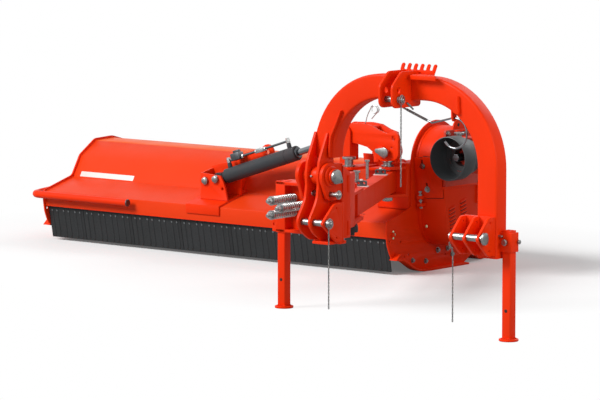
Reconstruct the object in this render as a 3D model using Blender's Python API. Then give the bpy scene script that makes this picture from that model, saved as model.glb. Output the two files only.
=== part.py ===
"""Side mulcher for a tractor's three-point hitch, parked on its two stands.

The design frame has X along the deck to the right, Y rearwards (the tractor stands on the -Y side)
and Z up from the ground. The last step moves everything so that the origin is the middle of the
bounding box on the ground. All sizes are in metres.
"""
import math

import bmesh
import bpy
from mathutils import Matrix, Vector

GAP = 0.0003
RUNNING_GAP = 0.0005

# Deck: end plates, flaps and hood
DECK_LEFT = -0.235
DECK_RIGHT = 1.842
END_PLATE = 0.008
HOOD_SHEET = 0.005
LIP_Y = -0.045
LIP_LOW_Z = 0.166
LIP_TOP_Z = 0.236
SHELF_Y = 0.151
SHELF_Z = 0.289
FLAP_COUNT = 7
FLAP_WIDTH = 0.3056
FIRST_FLAP = 0.2231
LAST_FLAP = 0.2986
FLAP_GAP = 0.002
FLAP_THICK = 0.006
FLAP_AXIS_Y = -0.0305
FLAP_AXIS_Z = 0.186
FLAP_BEAD = 0.006
FLAP_BOTTOM_Y = 0.002
FLAP_BOTTOM_Z = 0.014
FLAP_RIBS = 4
FLAP_RIB_WIDTH = 0.012
FLAP_RIB_HEIGHT = 0.002

# Rotor, roller and belt drive
ROTOR_Y = 0.335
ROTOR_Z = 0.230
ROTOR_TUBE = 0.070
ROTOR_SHAFT = 0.025
ROTOR_RIGHT = 1.965
HAMMER_COUNT = 18
HAMMER_REACH = 0.178
HAMMER_WIDTH = 0.060
HAMMER_THICK = 0.024
ROLLER_Y = 0.70
ROLLER_RADIUS = 0.075
ROLLER_AXLE = 0.015
DRIVE_Y = 0.31
DRIVE_Z = 0.533
DRIVE_PULLEY = 0.090
ROTOR_PULLEY = 0.085
BELT_THICK = 0.010
BELT_LEFT = 1.900
BELT_RIGHT = 1.955
COVER_RIGHT = 2.000
COVER_UPPER = (0.31, 0.487, 0.163)
COVER_LOWER = (0.31, 0.245, 0.135)
COVER_WALL = 0.004
BACK_ARC = (0.31, 0.487, 0.185)

# Gearbox and shaft guard
INPUT_X = 2.100
GEARBOX_FRONT = 0.215
GEARBOX_REAR = 0.350
INPUT_SHAFT = 0.0175
INPUT_FRONT = 0.105
GUARD_FRONT = 0.045
GUARD_RADIUS = 0.098
GUARD_WALL = 0.004
GUARD_FLOOR = 0.148

# Headstock arch
ARCH_LEFT = 2.409
ARCH_RIGHT = 3.318
ARCH_TOP = 1.020
ARCH_CORNER = 0.350
ARCH_SECTION = 0.096
ARCH_FRONT = -1.270
ARCH_REAR = -1.200
LEFT_LEG_FOOT = 0.668
RIGHT_LEG_FOOT = 0.324
ARC_STEPS = 8

# Hitch plates and pins
HITCH_PLATE = 0.012
LEFT_PLATES = (2.415, 2.475, 2.540)
RIGHT_PLATES = (3.175, 3.240, 3.305)
TOP_PLATES = (2.831, 2.893)
LOWER_PIN_Y = -1.360
LOWER_PIN_Z = 0.413
LOWER_PIN = 0.014
TOP_PIN_Y = -1.348
TOP_PIN_Z = 0.930
TOP_PIN = 0.0125

# Float pivot and lock, on the left hitch plates
FLOAT_Y = -1.285
FLOAT_Z = 0.595
FLOAT_PIN = 0.015
LOCK_Z = 0.522
LOCK_PIN = 0.0105
LEFT_EAR = (2.364, 2.380)
RIGHT_EAR = (2.4885, 2.5035)

# Spring box and left stand
BOX_LEFT = 2.065
BOX_RIGHT = 2.370
BOX_FRONT = -1.100
BOX_REAR = -1.000
BOX_LOW = 0.320
BOX_HIGH = 0.530
BOX_WALL = 0.012
SEAT_FRONT = -1.062
SEAT_REAR = -1.050
SPRINGS = ((2.137, 0.463), (2.184, 0.435), (2.137, 0.404))
SPRING_FRONT = -1.214
SPRING_RADIUS = 0.0165
SPRING_WIRE = 0.0025
SPRING_CURLS = 10
CURL_POINTS = 8
BOLT_RADIUS = 0.008
WASHER_RADIUS = 0.020
STAND_TUBE = 0.040
LEFT_STAND = (2.090, -1.075)
RIGHT_STAND = (3.347, -1.225)
STAND_FOOT = 0.039
SLEEVE_OUTER = 0.050
RIGHT_SLEEVE = (0.352, 0.428)
STAND_LOCK_Z = 0.391
STAND_HOLE_Z = 0.120

# Side shift parallelogram, seen from above
ARM_LENGTH = 0.850
ARM_ANGLE = math.radians(27.8)
OUTER_FRONT_PIN = Vector((1.850, -0.060))
PIN_OFFSET = Vector((-0.130, -0.110))
ARM_LOW = 0.375
ARM_HIGH = 0.475
ARM_BOSS = 0.045
ARM_HALF_WIDTH = 0.030
REAR_ARM_HALF_WIDTH = 0.025
ARM_PIN = 0.018
FORK_PLATE = 0.012
FORK_GAP = 0.005
KNUCKLE_X = 2.430
KNUCKLE_Y = -1.120
KNUCKLE = 0.022
KNUCKLE_STUB = 0.0145
BASE_RIGHT = 2.392
SHIFT_CYLINDER_Z = 0.318

# Tilt linkage, seen from the tractor
HINGE_X = 1.790
HINGE_Z = 0.465
HINGE_PIN = 0.0225
HINGE_TUBE = 0.034
HINGE_FRONT = 0.1155
HINGE_REAR = 0.275
ROCKER_X = 1.872
ROCKER_Z = 0.563
LINK_X = 1.657
LINK_Z = 0.638
LINK_FOOT_X = 1.690
LINK_FOOT_Z = 0.420
CYLINDER_X = 0.786
CYLINDER_Z = 0.358
CYLINDER_Y = 0.060
BARREL_RADIUS = 0.034
BARREL_BORE = 0.028
BARREL_START = 0.040
BARREL_END = 0.480
ROD_RADIUS = 0.015

CHAIN_LENGTH = 0.320
CHAIN_RADIUS = 0.0035

FINISHES = {
    "paint": ((0.914, 0.042, 0.006), 0.38, 0.0),
    "dark paint": ((0.068, 0.072, 0.076), 0.42, 0.0),
    "rubber": ((0.045, 0.048, 0.051), 0.75, 0.0),
    "plastic": ((0.050, 0.053, 0.056), 0.50, 0.0),
    "zinc": ((0.55, 0.55, 0.54), 0.35, 1.0),
    "chrome": ((0.62, 0.62, 0.63), 0.15, 1.0),
    "steel": ((0.30, 0.30, 0.31), 0.40, 1.0),
    "cast iron": ((0.19, 0.03, 0.01), 0.55, 0.0),
}

PART_COLLECTION = "side_mulcher"


def clear_scene():
    for item in list(bpy.data.objects):
        bpy.data.objects.remove(item, do_unlink=True)


def new_piece(mesh):
    """Link a mesh as an object of the part's collection."""
    piece = bpy.data.objects.new(mesh.name, mesh)
    bpy.data.collections[PART_COLLECTION].objects.link(piece)
    return piece


def mesh_from(builder, name):
    bm = bmesh.new()
    builder(bm)
    bmesh.ops.recalc_face_normals(bm, faces=bm.faces)
    mesh = bpy.data.meshes.new(name)
    bm.to_mesh(mesh)
    bm.free()
    return mesh


def block(low, high):
    """Box between two corners."""
    low = Vector(low)
    high = Vector(high)

    def build(bm):
        bmesh.ops.create_cube(bm, size=1.0)
        bmesh.ops.scale(bm, vec=high - low, verts=bm.verts)
        bmesh.ops.translate(bm, vec=(low + high) / 2, verts=bm.verts)

    return new_piece(mesh_from(build, "block"))


def rod(start, end, radius, sides=16, end_radius=None):
    """Cylinder or cone between two points."""
    start = Vector(start)
    end = Vector(end)
    along = end - start
    turn = along.to_track_quat("Z", "Y").to_matrix().to_4x4()
    place = Matrix.Translation((start + end) / 2) @ turn
    top = radius if end_radius is None else end_radius

    def build(bm):
        bmesh.ops.create_cone(bm, cap_ends=True, segments=sides, radius1=radius, radius2=top,
                              depth=along.length, matrix=place)

    return new_piece(mesh_from(build, "rod"))


def as_mesh(item):
    """Turn an evaluated object into a welded mesh object in world space."""
    bpy.context.view_layer.update()
    evaluated = item.evaluated_get(bpy.context.evaluated_depsgraph_get())
    mesh = bpy.data.meshes.new_from_object(evaluated)
    mesh.transform(item.matrix_world)
    bm = bmesh.new()
    bm.from_mesh(mesh)
    bmesh.ops.remove_doubles(bm, verts=bm.verts, dist=0.00001)
    bmesh.ops.recalc_face_normals(bm, faces=bm.faces)
    bm.to_mesh(mesh)
    bm.free()
    bpy.data.objects.remove(item, do_unlink=True)
    return new_piece(mesh)


# Columns of each matrix are the world directions of an outline's first axis, second axis and depth.
PLANES = {
    "x": Matrix(((0, 0, 1), (1, 0, 0), (0, 1, 0))).to_4x4(),
    "y": Matrix(((1, 0, 0), (0, 0, -1), (0, 1, 0))).to_4x4(),
    "z": Matrix.Identity(4),
}


def plate(normal, low, high, outline, holes=()):
    """Flat plate: outline and holes in the plane across the normal axis, from low to high along it."""
    curve = bpy.data.curves.new("outline", "CURVE")
    curve.dimensions = "2D"
    curve.fill_mode = "BOTH"
    curve.extrude = (high - low) / 2
    for points in (outline, *holes):
        spline = curve.splines.new("POLY")
        spline.points.add(len(points) - 1)
        for point, (first, second) in zip(spline.points, points):
            point.co = (first, second, 0, 1)
        spline.use_cyclic_u = True
    item = bpy.data.objects.new("outline", curve)
    bpy.data.collections[PART_COLLECTION].objects.link(item)
    middle = (low + high) / 2
    offset = {"x": (middle, 0, 0), "y": (0, middle, 0), "z": (0, 0, middle)}[normal]
    item.matrix_world = Matrix.Translation(offset) @ PLANES[normal]
    return as_mesh(item)


def wire(points, radius, resolution=1):
    """Round bar along a list of points, with closed ends."""
    curve = bpy.data.curves.new("wire", "CURVE")
    curve.dimensions = "3D"
    curve.bevel_depth = radius
    curve.bevel_resolution = resolution
    curve.use_fill_caps = True
    spline = curve.splines.new("POLY")
    spline.points.add(len(points) - 1)
    for point, place in zip(spline.points, points):
        point.co = (*place, 1)
    item = bpy.data.objects.new("wire", curve)
    bpy.data.collections[PART_COLLECTION].objects.link(item)
    return as_mesh(item)


def arc(centre, radius, start, end, steps=ARC_STEPS):
    """Points on a round stretch; the angles are in degrees, anticlockwise from the first axis."""
    points = []
    for step in range(steps + 1):
        angle = math.radians(start + (end - start) * step / steps)
        points.append((centre[0] + radius * math.cos(angle), centre[1] + radius * math.sin(angle)))
    return points


def circle(centre, radius, sides=16):
    return arc(centre, radius, 0, 360 - 360 / sides, sides - 1)


def stadium(centre, half_length, radius, steps=6):
    """Slot outline that runs along the first axis."""
    right = arc((centre[0] + half_length, centre[1]), radius, -90, 90, steps)
    left = arc((centre[0] - half_length, centre[1]), radius, 90, 270, steps)
    return right + left


def around_circles(first, first_radius, second, second_radius, steps=10):
    """Outline of a band stretched round two circles."""
    first = Vector(first)
    second = Vector(second)
    run = second - first
    heading = math.degrees(math.atan2(run.y, run.x))
    lean = math.degrees(math.acos((first_radius - second_radius) / run.length))
    near = arc(first, first_radius, heading + lean, heading + 360 - lean, steps)
    far = arc(second, second_radius, heading - lean, heading + lean, steps)
    return near + far


def boolean(base, others, operation):
    for other in others:
        modifier = base.modifiers.new(operation, "BOOLEAN")
        modifier.operation = operation
        modifier.object = other
        modifier.solver = "EXACT"
    result = as_mesh(base)
    for other in others:
        bpy.data.objects.remove(other, do_unlink=True)
    return result


def join(*pieces):
    return boolean(pieces[0], pieces[1:], "UNION")


def cut(base, *cutters):
    return boolean(base, cutters, "DIFFERENCE")


def surface(name, finish):
    """The sub-part's own Principled material."""
    colour, roughness, metallic = FINISHES[finish]
    material = bpy.data.materials.new(name)
    material.use_nodes = True
    shader = material.node_tree.nodes["Principled BSDF"]
    shader.inputs["Base Color"].default_value = (*colour, 1.0)
    shader.inputs["Roughness"].default_value = roughness
    shader.inputs["Metallic"].default_value = metallic
    return material


def finish(name, piece, look, origin=(0, 0, 0), parent=None):
    """Name a finished piece, put its origin on its joint's axis and hang it on its parent."""
    origin = Vector(origin)
    piece.name = name
    piece.data.name = name
    piece.data.transform(Matrix.Translation(-origin))
    piece.location = origin
    piece.data.materials.clear()
    piece.data.materials.append(surface(name, look))
    piece.data.shade_smooth()
    piece.data.set_sharp_from_angle(angle=math.radians(35))
    if parent is not None:
        bpy.context.view_layer.update()
        piece.parent = parent
        piece.matrix_parent_inverse = parent.matrix_world.inverted()
    return piece


def box_outline(low_first, high_first, low_second, high_second):
    return [(low_first, low_second), (high_first, low_second),
            (high_first, high_second), (low_first, high_second)]


def arch_outline():
    """Upside-down U with round shoulders; the left leg ends above the float pivot."""
    left_centre = (ARCH_LEFT + ARCH_CORNER, ARCH_TOP - ARCH_CORNER)
    right_centre = (ARCH_RIGHT - ARCH_CORNER, ARCH_TOP - ARCH_CORNER)
    inner = ARCH_CORNER - ARCH_SECTION
    outline = [(ARCH_LEFT, LEFT_LEG_FOOT)]
    outline += arc(left_centre, ARCH_CORNER, 180, 90)
    outline += arc(right_centre, ARCH_CORNER, 90, 0)
    outline += [(ARCH_RIGHT, RIGHT_LEG_FOOT), (ARCH_RIGHT - ARCH_SECTION, RIGHT_LEG_FOOT)]
    outline += arc(right_centre, inner, 0, 90)
    outline += arc(left_centre, inner, 90, 180)
    outline += [(ARCH_LEFT + ARCH_SECTION, LEFT_LEG_FOOT)]
    return outline


def stand_bore(centre, low, high):
    half = STAND_TUBE / 2 + RUNNING_GAP
    return block((centre[0] - half, centre[1] - half, low), (centre[0] + half, centre[1] + half, high))


def stand_sleeve(centre, low, high):
    half = SLEEVE_OUTER / 2
    return block((centre[0] - half, centre[1] - half, low), (centre[0] + half, centre[1] + half, high))


def headstock_arch():
    arch = plate("y", ARCH_FRONT, ARCH_REAR, arch_outline())
    low, high = RIGHT_SLEEVE
    x, y = RIGHT_STAND
    half = SLEEVE_OUTER / 2
    sleeve = block((ARCH_RIGHT - 0.002, y - half, low), (x + half + 0.003, y + half, high))
    eye_plate = plate("x", 3.090, 3.098, box_outline(-1.266, -1.234, 0.848, 0.910))
    piece = join(arch, sleeve, eye_plate)
    lock_bore = rod((x, y - 0.10, STAND_LOCK_Z), (x, y, STAND_LOCK_Z), 0.0062, 12)
    hook_bore = rod((3.05, -1.25, 0.862), (3.14, -1.25, 0.862), 0.0055, 12)
    piece = cut(piece, stand_bore(RIGHT_STAND, low - 0.01, high + 0.01), lock_bore, hook_bore)
    return finish("headstock_arch", piece, "paint")


def hitch_cheek():
    """Outline of the two tall plates on the left leg, in Y and Z."""
    return [(ARCH_FRONT - GAP, 0.775), (-1.326, 0.659), (-1.336, 0.600), (-1.332, 0.559),
            (-1.340, 0.508), (-1.356, 0.476), (-1.385, 0.434), (-1.390, 0.414), (-1.383, 0.395),
            (-1.365, 0.371), (-1.328, 0.345), (-1.305, 0.333), (-1.236, 0.333),
            (-1.236, LEFT_LEG_FOOT - GAP), (ARCH_FRONT - GAP, LEFT_LEG_FOOT - GAP)]


def lower_pin_bore(left, right):
    return rod((left - 0.01, LOWER_PIN_Y, LOWER_PIN_Z), (right + 0.01, LOWER_PIN_Y, LOWER_PIN_Z),
               LOWER_PIN + RUNNING_GAP, 16)


def left_hitch_plates(parent):
    half = HITCH_PLATE / 2
    left = LEFT_PLATES[0] - half
    right = LEFT_PLATES[2] + half
    pieces = [plate("x", x - half, x + half, hitch_cheek()) for x in LEFT_PLATES[:2]]
    triangle = [(-1.392, 0.413), (-1.318, 0.482), (-1.306, 0.488), (-1.252, 0.488),
                (-1.252, 0.330), (-1.296, 0.330)]
    pieces.append(plate("x", right - HITCH_PLATE, right, triangle))
    pieces.append(block((left - 0.0005, -1.276, 0.322), (right + 0.0005, -1.2365, 0.3345)))
    pieces.append(block((LEFT_PLATES[1] - 0.030, -1.330, 0.3225), (right - 0.015, -1.270, 0.3340)))
    pieces.append(block((LEFT_PLATES[1], -1.264, 0.325), (right + 0.0008, -1.250, 0.4885)))
    pieces.append(rod((LEFT_PLATES[0], FLOAT_Y, FLOAT_Z), (LEFT_PLATES[1], FLOAT_Y, FLOAT_Z), 0.0285, 20))
    bore = rod((left - 0.01, FLOAT_Y, FLOAT_Z), (LEFT_PLATES[1] + 0.02, FLOAT_Y, FLOAT_Z),
               FLOAT_PIN + RUNNING_GAP, 16)
    slot = plate("x", left - 0.01, LEFT_PLATES[1] + 0.02,
                 stadium((FLOAT_Y + 0.0015, LOCK_Z), 0.0075, LOCK_PIN + 0.0025))
    piece = cut(join(*pieces), bore, slot, lower_pin_bore(left, right))
    return finish("left_hitch_plates", piece, "paint", parent=parent)


def right_hitch_plates(parent):
    half = HITCH_PLATE / 2
    outline = [(-1.384, 0.412), (-1.318, 0.482), (-1.306, 0.489), (-1.272, 0.489),
               (-1.272, 0.337), (-1.314, 0.337), (-1.378, 0.398)]
    left = RIGHT_PLATES[0] - half
    right = RIGHT_PLATES[2] + half
    pieces = [plate("x", x - half, x + half, outline) for x in RIGHT_PLATES]
    back = block((left - 0.0005, -1.284, 0.3365), (right + 0.0005, ARCH_FRONT - GAP, 0.4895))
    piece = cut(join(back, *pieces), lower_pin_bore(left, right))
    return finish("right_hitch_plates", piece, "paint", parent=parent)


def top_hitch_plates(parent):
    """Two cheeks notched round the arch beam, joined by a strap under the beam."""
    low = ARCH_TOP - ARCH_SECTION - GAP
    high = ARCH_TOP + GAP
    front = ARCH_FRONT - GAP
    outline = [(-1.390, 0.915), (-1.390, 0.985), (-1.330, 1.0395), (-1.2275, 1.0395), (-1.2195, 1.033),
               (-1.2195, high),
               (front, high), (front, low), (-1.207, low), (-1.207, 0.905), (-1.217, 0.897),
               (-1.372, 0.897)]
    pin_hole = circle((TOP_PIN_Y, TOP_PIN_Z), TOP_PIN + RUNNING_GAP)
    slot = [(y, z) for z, y in stadium((0.967, -1.349), 0.006, 0.0128)]
    slot.reverse()
    cheeks = [plate("x", x - 0.005, x + 0.005, outline, (pin_hole, slot)) for x in TOP_PLATES]
    strap = block((TOP_PLATES[0], -1.262, 0.912), (TOP_PLATES[1], -1.215, low))
    return finish("top_hitch_plates", join(*cheeks, strap), "paint", parent=parent)


def hose_comb(parent):
    """Six slanted prongs that hold the hydraulic hoses, on a flange that lies across the arch."""
    pitch = 0.03166
    width = 0.0155
    lean = 0.0075
    left = 2.803
    low = ARCH_TOP + GAP
    gap_low = 1.0400
    prong_top = 1.0655
    outline = [(left, low + 0.0200)]
    for index in range(6):
        x = left + index * pitch
        outline += [(x + 0.0005, gap_low + 0.002)]
        outline += [(x + lean - 0.001, prong_top - 0.006), (x + lean + 0.0025, prong_top - 0.0015)]
        outline += [(x + lean + width / 2, prong_top), (x + lean + width - 0.0025, prong_top - 0.0015)]
        outline += [(x + lean + width - 0.0005, prong_top - 0.006), (x + width + 0.0005, gap_low + 0.002)]
        if index < 5:
            outline += [(x + width + 0.0035, gap_low), (x + pitch - 0.003, gap_low)]
    outline += [(left + 5 * pitch + 0.008, low), (left + 0.006, low)]
    comb = plate("y", -1.2165, -1.2105, outline)
    shelf = plate("z", low - 0.0001, low + 0.0062, [(2.915, -1.300), (3.040, -1.300), (2.9645, -1.2102), (2.905, -1.2102)])
    return finish("hose_comb", join(comb, shelf), "paint", parent=parent)


def pin_with_ring(left, right, y, z, radius):
    """Straight pin with a spring ring clip through its right end."""
    shank = rod((left, y, z), (right, y, z), radius, 16)
    ring_x = right - 0.006
    reach = radius + 0.0055
    clip = rod((ring_x, y, z - radius - 0.0015), (ring_x, y, z + reach + 0.003), 0.0040, 8)
    knob = rod((right - 0.003, y, z), (right + 0.006, y, z), 0.007, 10)
    hoop = [(ring_x, first, second) for first, second in arc((y, z), reach, 98, 442, 14)]
    return join(shank, clip, knob, wire(hoop, 0.0022))


def left_hitch_pin(parent):
    piece = pin_with_ring(2.396, 2.566, LOWER_PIN_Y, LOWER_PIN_Z, LOWER_PIN)
    return finish("left_hitch_pin", piece, "zinc", (2.40, LOWER_PIN_Y, LOWER_PIN_Z), parent)


def top_hitch_pin(parent):
    piece = pin_with_ring(2.816, 2.918, TOP_PIN_Y, TOP_PIN_Z, TOP_PIN)
    return finish("top_hitch_pin", piece, "zinc", (2.816, TOP_PIN_Y, TOP_PIN_Z), parent)


def right_hitch_pin(parent):
    """Pin with an oblong head."""
    shank = rod((3.158, LOWER_PIN_Y, LOWER_PIN_Z), (3.322, LOWER_PIN_Y, LOWER_PIN_Z), LOWER_PIN)
    head = plate("x", 3.320, 3.333, [(y, z) for z, y in stadium((LOWER_PIN_Z, LOWER_PIN_Y), 0.006, 0.019)])
    return finish("right_hitch_pin", join(shank, head), "zinc", (3.16, LOWER_PIN_Y, LOWER_PIN_Z), parent)


def chain(name, route, parent):
    """Safety chain: it follows the route's points, then hangs straight down."""
    route = [Vector(point) for point in route]
    left = CHAIN_LENGTH - sum((second - first).length for first, second in zip(route, route[1:]))
    points = route + [route[-1] - Vector((0, 0, left * step / 8)) for step in range(1, 9)]
    return finish(name, wire(points, CHAIN_RADIUS), "zinc", route[0], parent)


def pto_hook(parent):
    """Bent bar that cradles the drive shaft when the machine is parked; it swings in its eye."""
    y = -1.250
    eye_x = 3.094
    eye_z = 0.862
    points = [(2.8425, y, 0.8905), (2.850, y, 0.8875), (2.985, y, 0.838), (2.992, y, 0.839)]
    points += [(3.070, y, 0.857), (3.084, y, eye_z), (3.108, y, eye_z)]
    points += [(x, y, z) for x, z in arc((3.098, 0.803), 0.060, 72, -142, 12)]
    return finish("pto_hook", wire(points, 0.004, 2), "chrome", (eye_x, y, eye_z), parent)


def stand(name, centre, top, parent):
    x, y = centre
    half = STAND_TUBE / 2
    tube = block((x - half, y - half, 0.006), (x + half, y + half, top))
    foot = rod((x, y, 0), (x, y, 0.009), STAND_FOOT, 20)
    piece = cut(join(tube, foot), rod((x, y - 0.05, STAND_HOLE_Z), (x, y + 0.05, STAND_HOLE_Z), 0.007, 12))
    return finish(name, piece, "paint", (x, y, 0), parent)


def right_stand_lock_pin(parent):
    x, y = RIGHT_STAND
    z = STAND_LOCK_Z
    tip = y - STAND_TUBE / 2 - RUNNING_GAP
    face = y - SLEEVE_OUTER / 2
    shank = rod((x, tip, z), (x, face - 0.004, z), 0.0057, 12)
    head = rod((x, face - 0.002, z), (x, face - 0.014, z), 0.013, 12)
    return finish("right_stand_lock_pin", join(shank, head), "zinc", (x, tip, z), parent)


def ear_outline():
    """Ear round the float pivot that tapers down past the lock pin, in Y and Z."""
    return [(-1.208, 0.641)] + arc((FLOAT_Y, FLOAT_Z), 0.055, 75, 215, 8) + [
        (-1.306, 0.505), (-1.292, 0.496), (-1.208, 0.496)]


def float_frame(parent):
    """Ears, column and open spring box that float together about the pivot pin."""
    ears = [plate("x", low, high, ear_outline()) for low, high in (LEFT_EAR, RIGHT_EAR)]
    bosses = [rod((start, FLOAT_Y, FLOAT_Z), (end, FLOAT_Y, FLOAT_Z), radius, 20) for start, end, radius in
              ((2.370, 2.4083, 0.030), (2.495, 2.514, 0.042), (2.500, 2.528, 0.030))]
    column = plate("x", LEFT_EAR[0] - 0.002, RIGHT_EAR[1] + 0.002, [
        (-1.2145, 0.335), (-1.155, 0.335), (-1.155, 0.598), (-1.2145, 0.640)])
    wall = BOX_WALL
    right_wall = block((BOX_RIGHT - wall, -1.190, BOX_LOW + 0.0005), (BOX_RIGHT + 0.0005, BOX_REAR + 0.0005,
                                                                      BOX_HIGH - 0.0005))
    top = block((BOX_LEFT, BOX_FRONT, BOX_HIGH - wall), (BOX_RIGHT, BOX_REAR, BOX_HIGH))
    bottom = block((BOX_LEFT, BOX_FRONT, BOX_LOW), (BOX_RIGHT, BOX_REAR, BOX_LOW + wall))
    seat = block((BOX_LEFT + 0.02, SEAT_FRONT, BOX_LOW + 0.003), (BOX_RIGHT - 0.002, SEAT_REAR, BOX_HIGH - 0.003))
    sleeve = stand_sleeve(LEFT_STAND, BOX_LOW - 0.002, BOX_HIGH + 0.002)
    lock_lug = block((2.046, -1.099, 0.320), (2.070, -1.089, 0.378))
    lugs = []
    for low, high in ((0.340, 0.352), (0.585, 0.597)):
        outline = [(KNUCKLE_X - 0.032, -1.160)]
        outline += arc((KNUCKLE_X, KNUCKLE_Y), 0.032, 180, 0, 8)
        outline += [(KNUCKLE_X + 0.032, -1.160)]
        lugs.append(plate("z", low, high, outline))
    piece = join(column, *ears, *bosses, right_wall, top, bottom, seat, sleeve, lock_lug, *lugs)
    cutters = [stand_bore(LEFT_STAND, BOX_LOW - 0.01, BOX_HIGH + 0.01)]
    cutters.append(rod((2.35, FLOAT_Y, FLOAT_Z), (2.54, FLOAT_Y, FLOAT_Z), FLOAT_PIN + RUNNING_GAP, 16))
    cutters.append(rod((2.35, FLOAT_Y, LOCK_Z), (2.54, FLOAT_Y, LOCK_Z), LOCK_PIN + RUNNING_GAP, 12))
    cutters.append(rod((KNUCKLE_X, KNUCKLE_Y, 0.33), (KNUCKLE_X, KNUCKLE_Y, 0.61), KNUCKLE_STUB + RUNNING_GAP, 16))
    cutters.append(rod((2.056, -1.12, 0.350), (2.056, -1.07, 0.350), 0.006, 10))
    for x, z in SPRINGS:
        cutters.append(rod((x, SEAT_FRONT - 0.02, z), (x, SEAT_REAR + 0.02, z), BOLT_RADIUS + 0.001, 12))
    return finish("float_frame", cut(piece, *cutters), "paint", (2.43, FLOAT_Y, FLOAT_Z), parent)


def teardrop(centre, radius, reach, heading):
    """Flag head: a circle drawn out to a blunt point."""
    outline = arc(centre, radius, heading + 68, heading + 292, 12)
    outline += arc((centre[0] + reach * math.cos(math.radians(heading)),
                    centre[1] + reach * math.sin(math.radians(heading))), 0.009, heading - 68, heading + 68, 4)
    return outline


def float_pivot_pin(parent):
    y, z = FLOAT_Y, FLOAT_Z
    shank = rod((2.336, y, z), (2.532, y, z), FLOAT_PIN, 16)
    washer = rod((2.346, y, z), (2.3635, y, z), 0.021, 16)
    head = plate("x", 2.5285, 2.540, teardrop((y, z), 0.030, 0.034, -34))
    return finish("float_pivot_pin", join(shank, washer, head), "zinc", (2.43, y, z), parent)


def float_lock_pin(parent):
    piece = pin_with_ring(2.352, 2.552, FLOAT_Y, LOCK_Z, LOCK_PIN)
    return finish("float_lock_pin", piece, "zinc", (2.352, FLOAT_Y, LOCK_Z), parent)


def spring_points(x, z):
    """Centre line of one spring: a straight start, the curls and a straight end, all along Y."""
    straight = 2 * SPRING_WIRE
    start = SPRING_FRONT + GAP
    end = SEAT_FRONT - GAP
    lead = SPRING_WIRE * 1.6
    count = SPRING_CURLS * CURL_POINTS
    points = [(x + SPRING_RADIUS, start, z), (x + SPRING_RADIUS, start + straight, z)]
    for step in range(count + 1):
        turn = 2 * math.pi * step / CURL_POINTS
        y = start + straight + lead + (end - start - 2 * straight - 2 * lead) * step / count
        points.append((x + SPRING_RADIUS * math.cos(turn), y, z + SPRING_RADIUS * math.sin(turn)))
    points += [(x + SPRING_RADIUS, end - straight, z), (x + SPRING_RADIUS, end, z)]
    return points


def least_gap(points, radius, skip):
    """Least free space between stretches of the wire that aren't neighbours."""
    places = [Vector(point) for point in points]
    gap = min((first - second).length for index, first in enumerate(places)
              for second in places[index + skip:])
    return gap - 2 * radius


def breakaway_springs(parent):
    for number, (x, z) in enumerate(SPRINGS, 1):
        points = spring_points(x, z)
        gap = least_gap(points, SPRING_WIRE, CURL_POINTS - 1)
        print(f"breakaway_spring_{number}: least gap between curls {gap * 1000:.2f} mm")
        finish(f"breakaway_spring_{number}", wire(points, SPRING_WIRE), "zinc", (x, SEAT_FRONT, z), parent)


def spring_bolt_set(parent):
    """Three bolts with nuts and washers, tied by a yoke behind the spring seat."""
    pieces = [block((2.105, -1.012, 0.385), (2.205, -1.005, 0.482))]
    for x, z in SPRINGS:
        pieces.append(rod((x, -1.243, z), (x, -1.008, z), BOLT_RADIUS, 12))
        pieces.append(rod((x, SPRING_FRONT - 0.004, z), (x, SPRING_FRONT, z), WASHER_RADIUS, 16))
        pieces.append(rod((x, SPRING_FRONT - 0.019, z), (x, SPRING_FRONT - 0.003, z), 0.0135, 6))
    return finish("spring_bolt_set", join(*pieces), "zinc", (2.155, -1.008, 0.435), parent)


def arm_direction():
    return Vector((-math.sin(ARM_ANGLE), math.cos(ARM_ANGLE)))


def inner_front_pin():
    return OUTER_FRONT_PIN - ARM_LENGTH * arm_direction()


def fork_outline(first, second, extra, steps=5):
    """Convex outline round two pin bosses and some further corners, seen from above."""
    points = []
    for centre in (first, second):
        points += arc(centre, ARM_BOSS, 0, 330, 11)
    points += list(extra)
    points = sorted(set((round(x, 6), round(y, 6)) for x, y in points))

    def half_hull(ordered):
        hull = []
        for point in ordered:
            while len(hull) > 1 and turn_side(hull[-2], hull[-1], point) <= 0:
                hull.pop()
            hull.append(point)
        return hull[:-1]

    return half_hull(points) + half_hull(points[::-1])


def turn_side(first, second, third):
    return ((second[0] - first[0]) * (third[1] - first[1])
            - (second[1] - first[1]) * (third[0] - first[0]))


def fork_heights():
    lower = (ARM_LOW - FORK_GAP - FORK_PLATE, ARM_LOW - FORK_GAP)
    upper = (ARM_HIGH + FORK_GAP, ARM_HIGH + FORK_GAP + FORK_PLATE)
    return lower, upper


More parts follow.
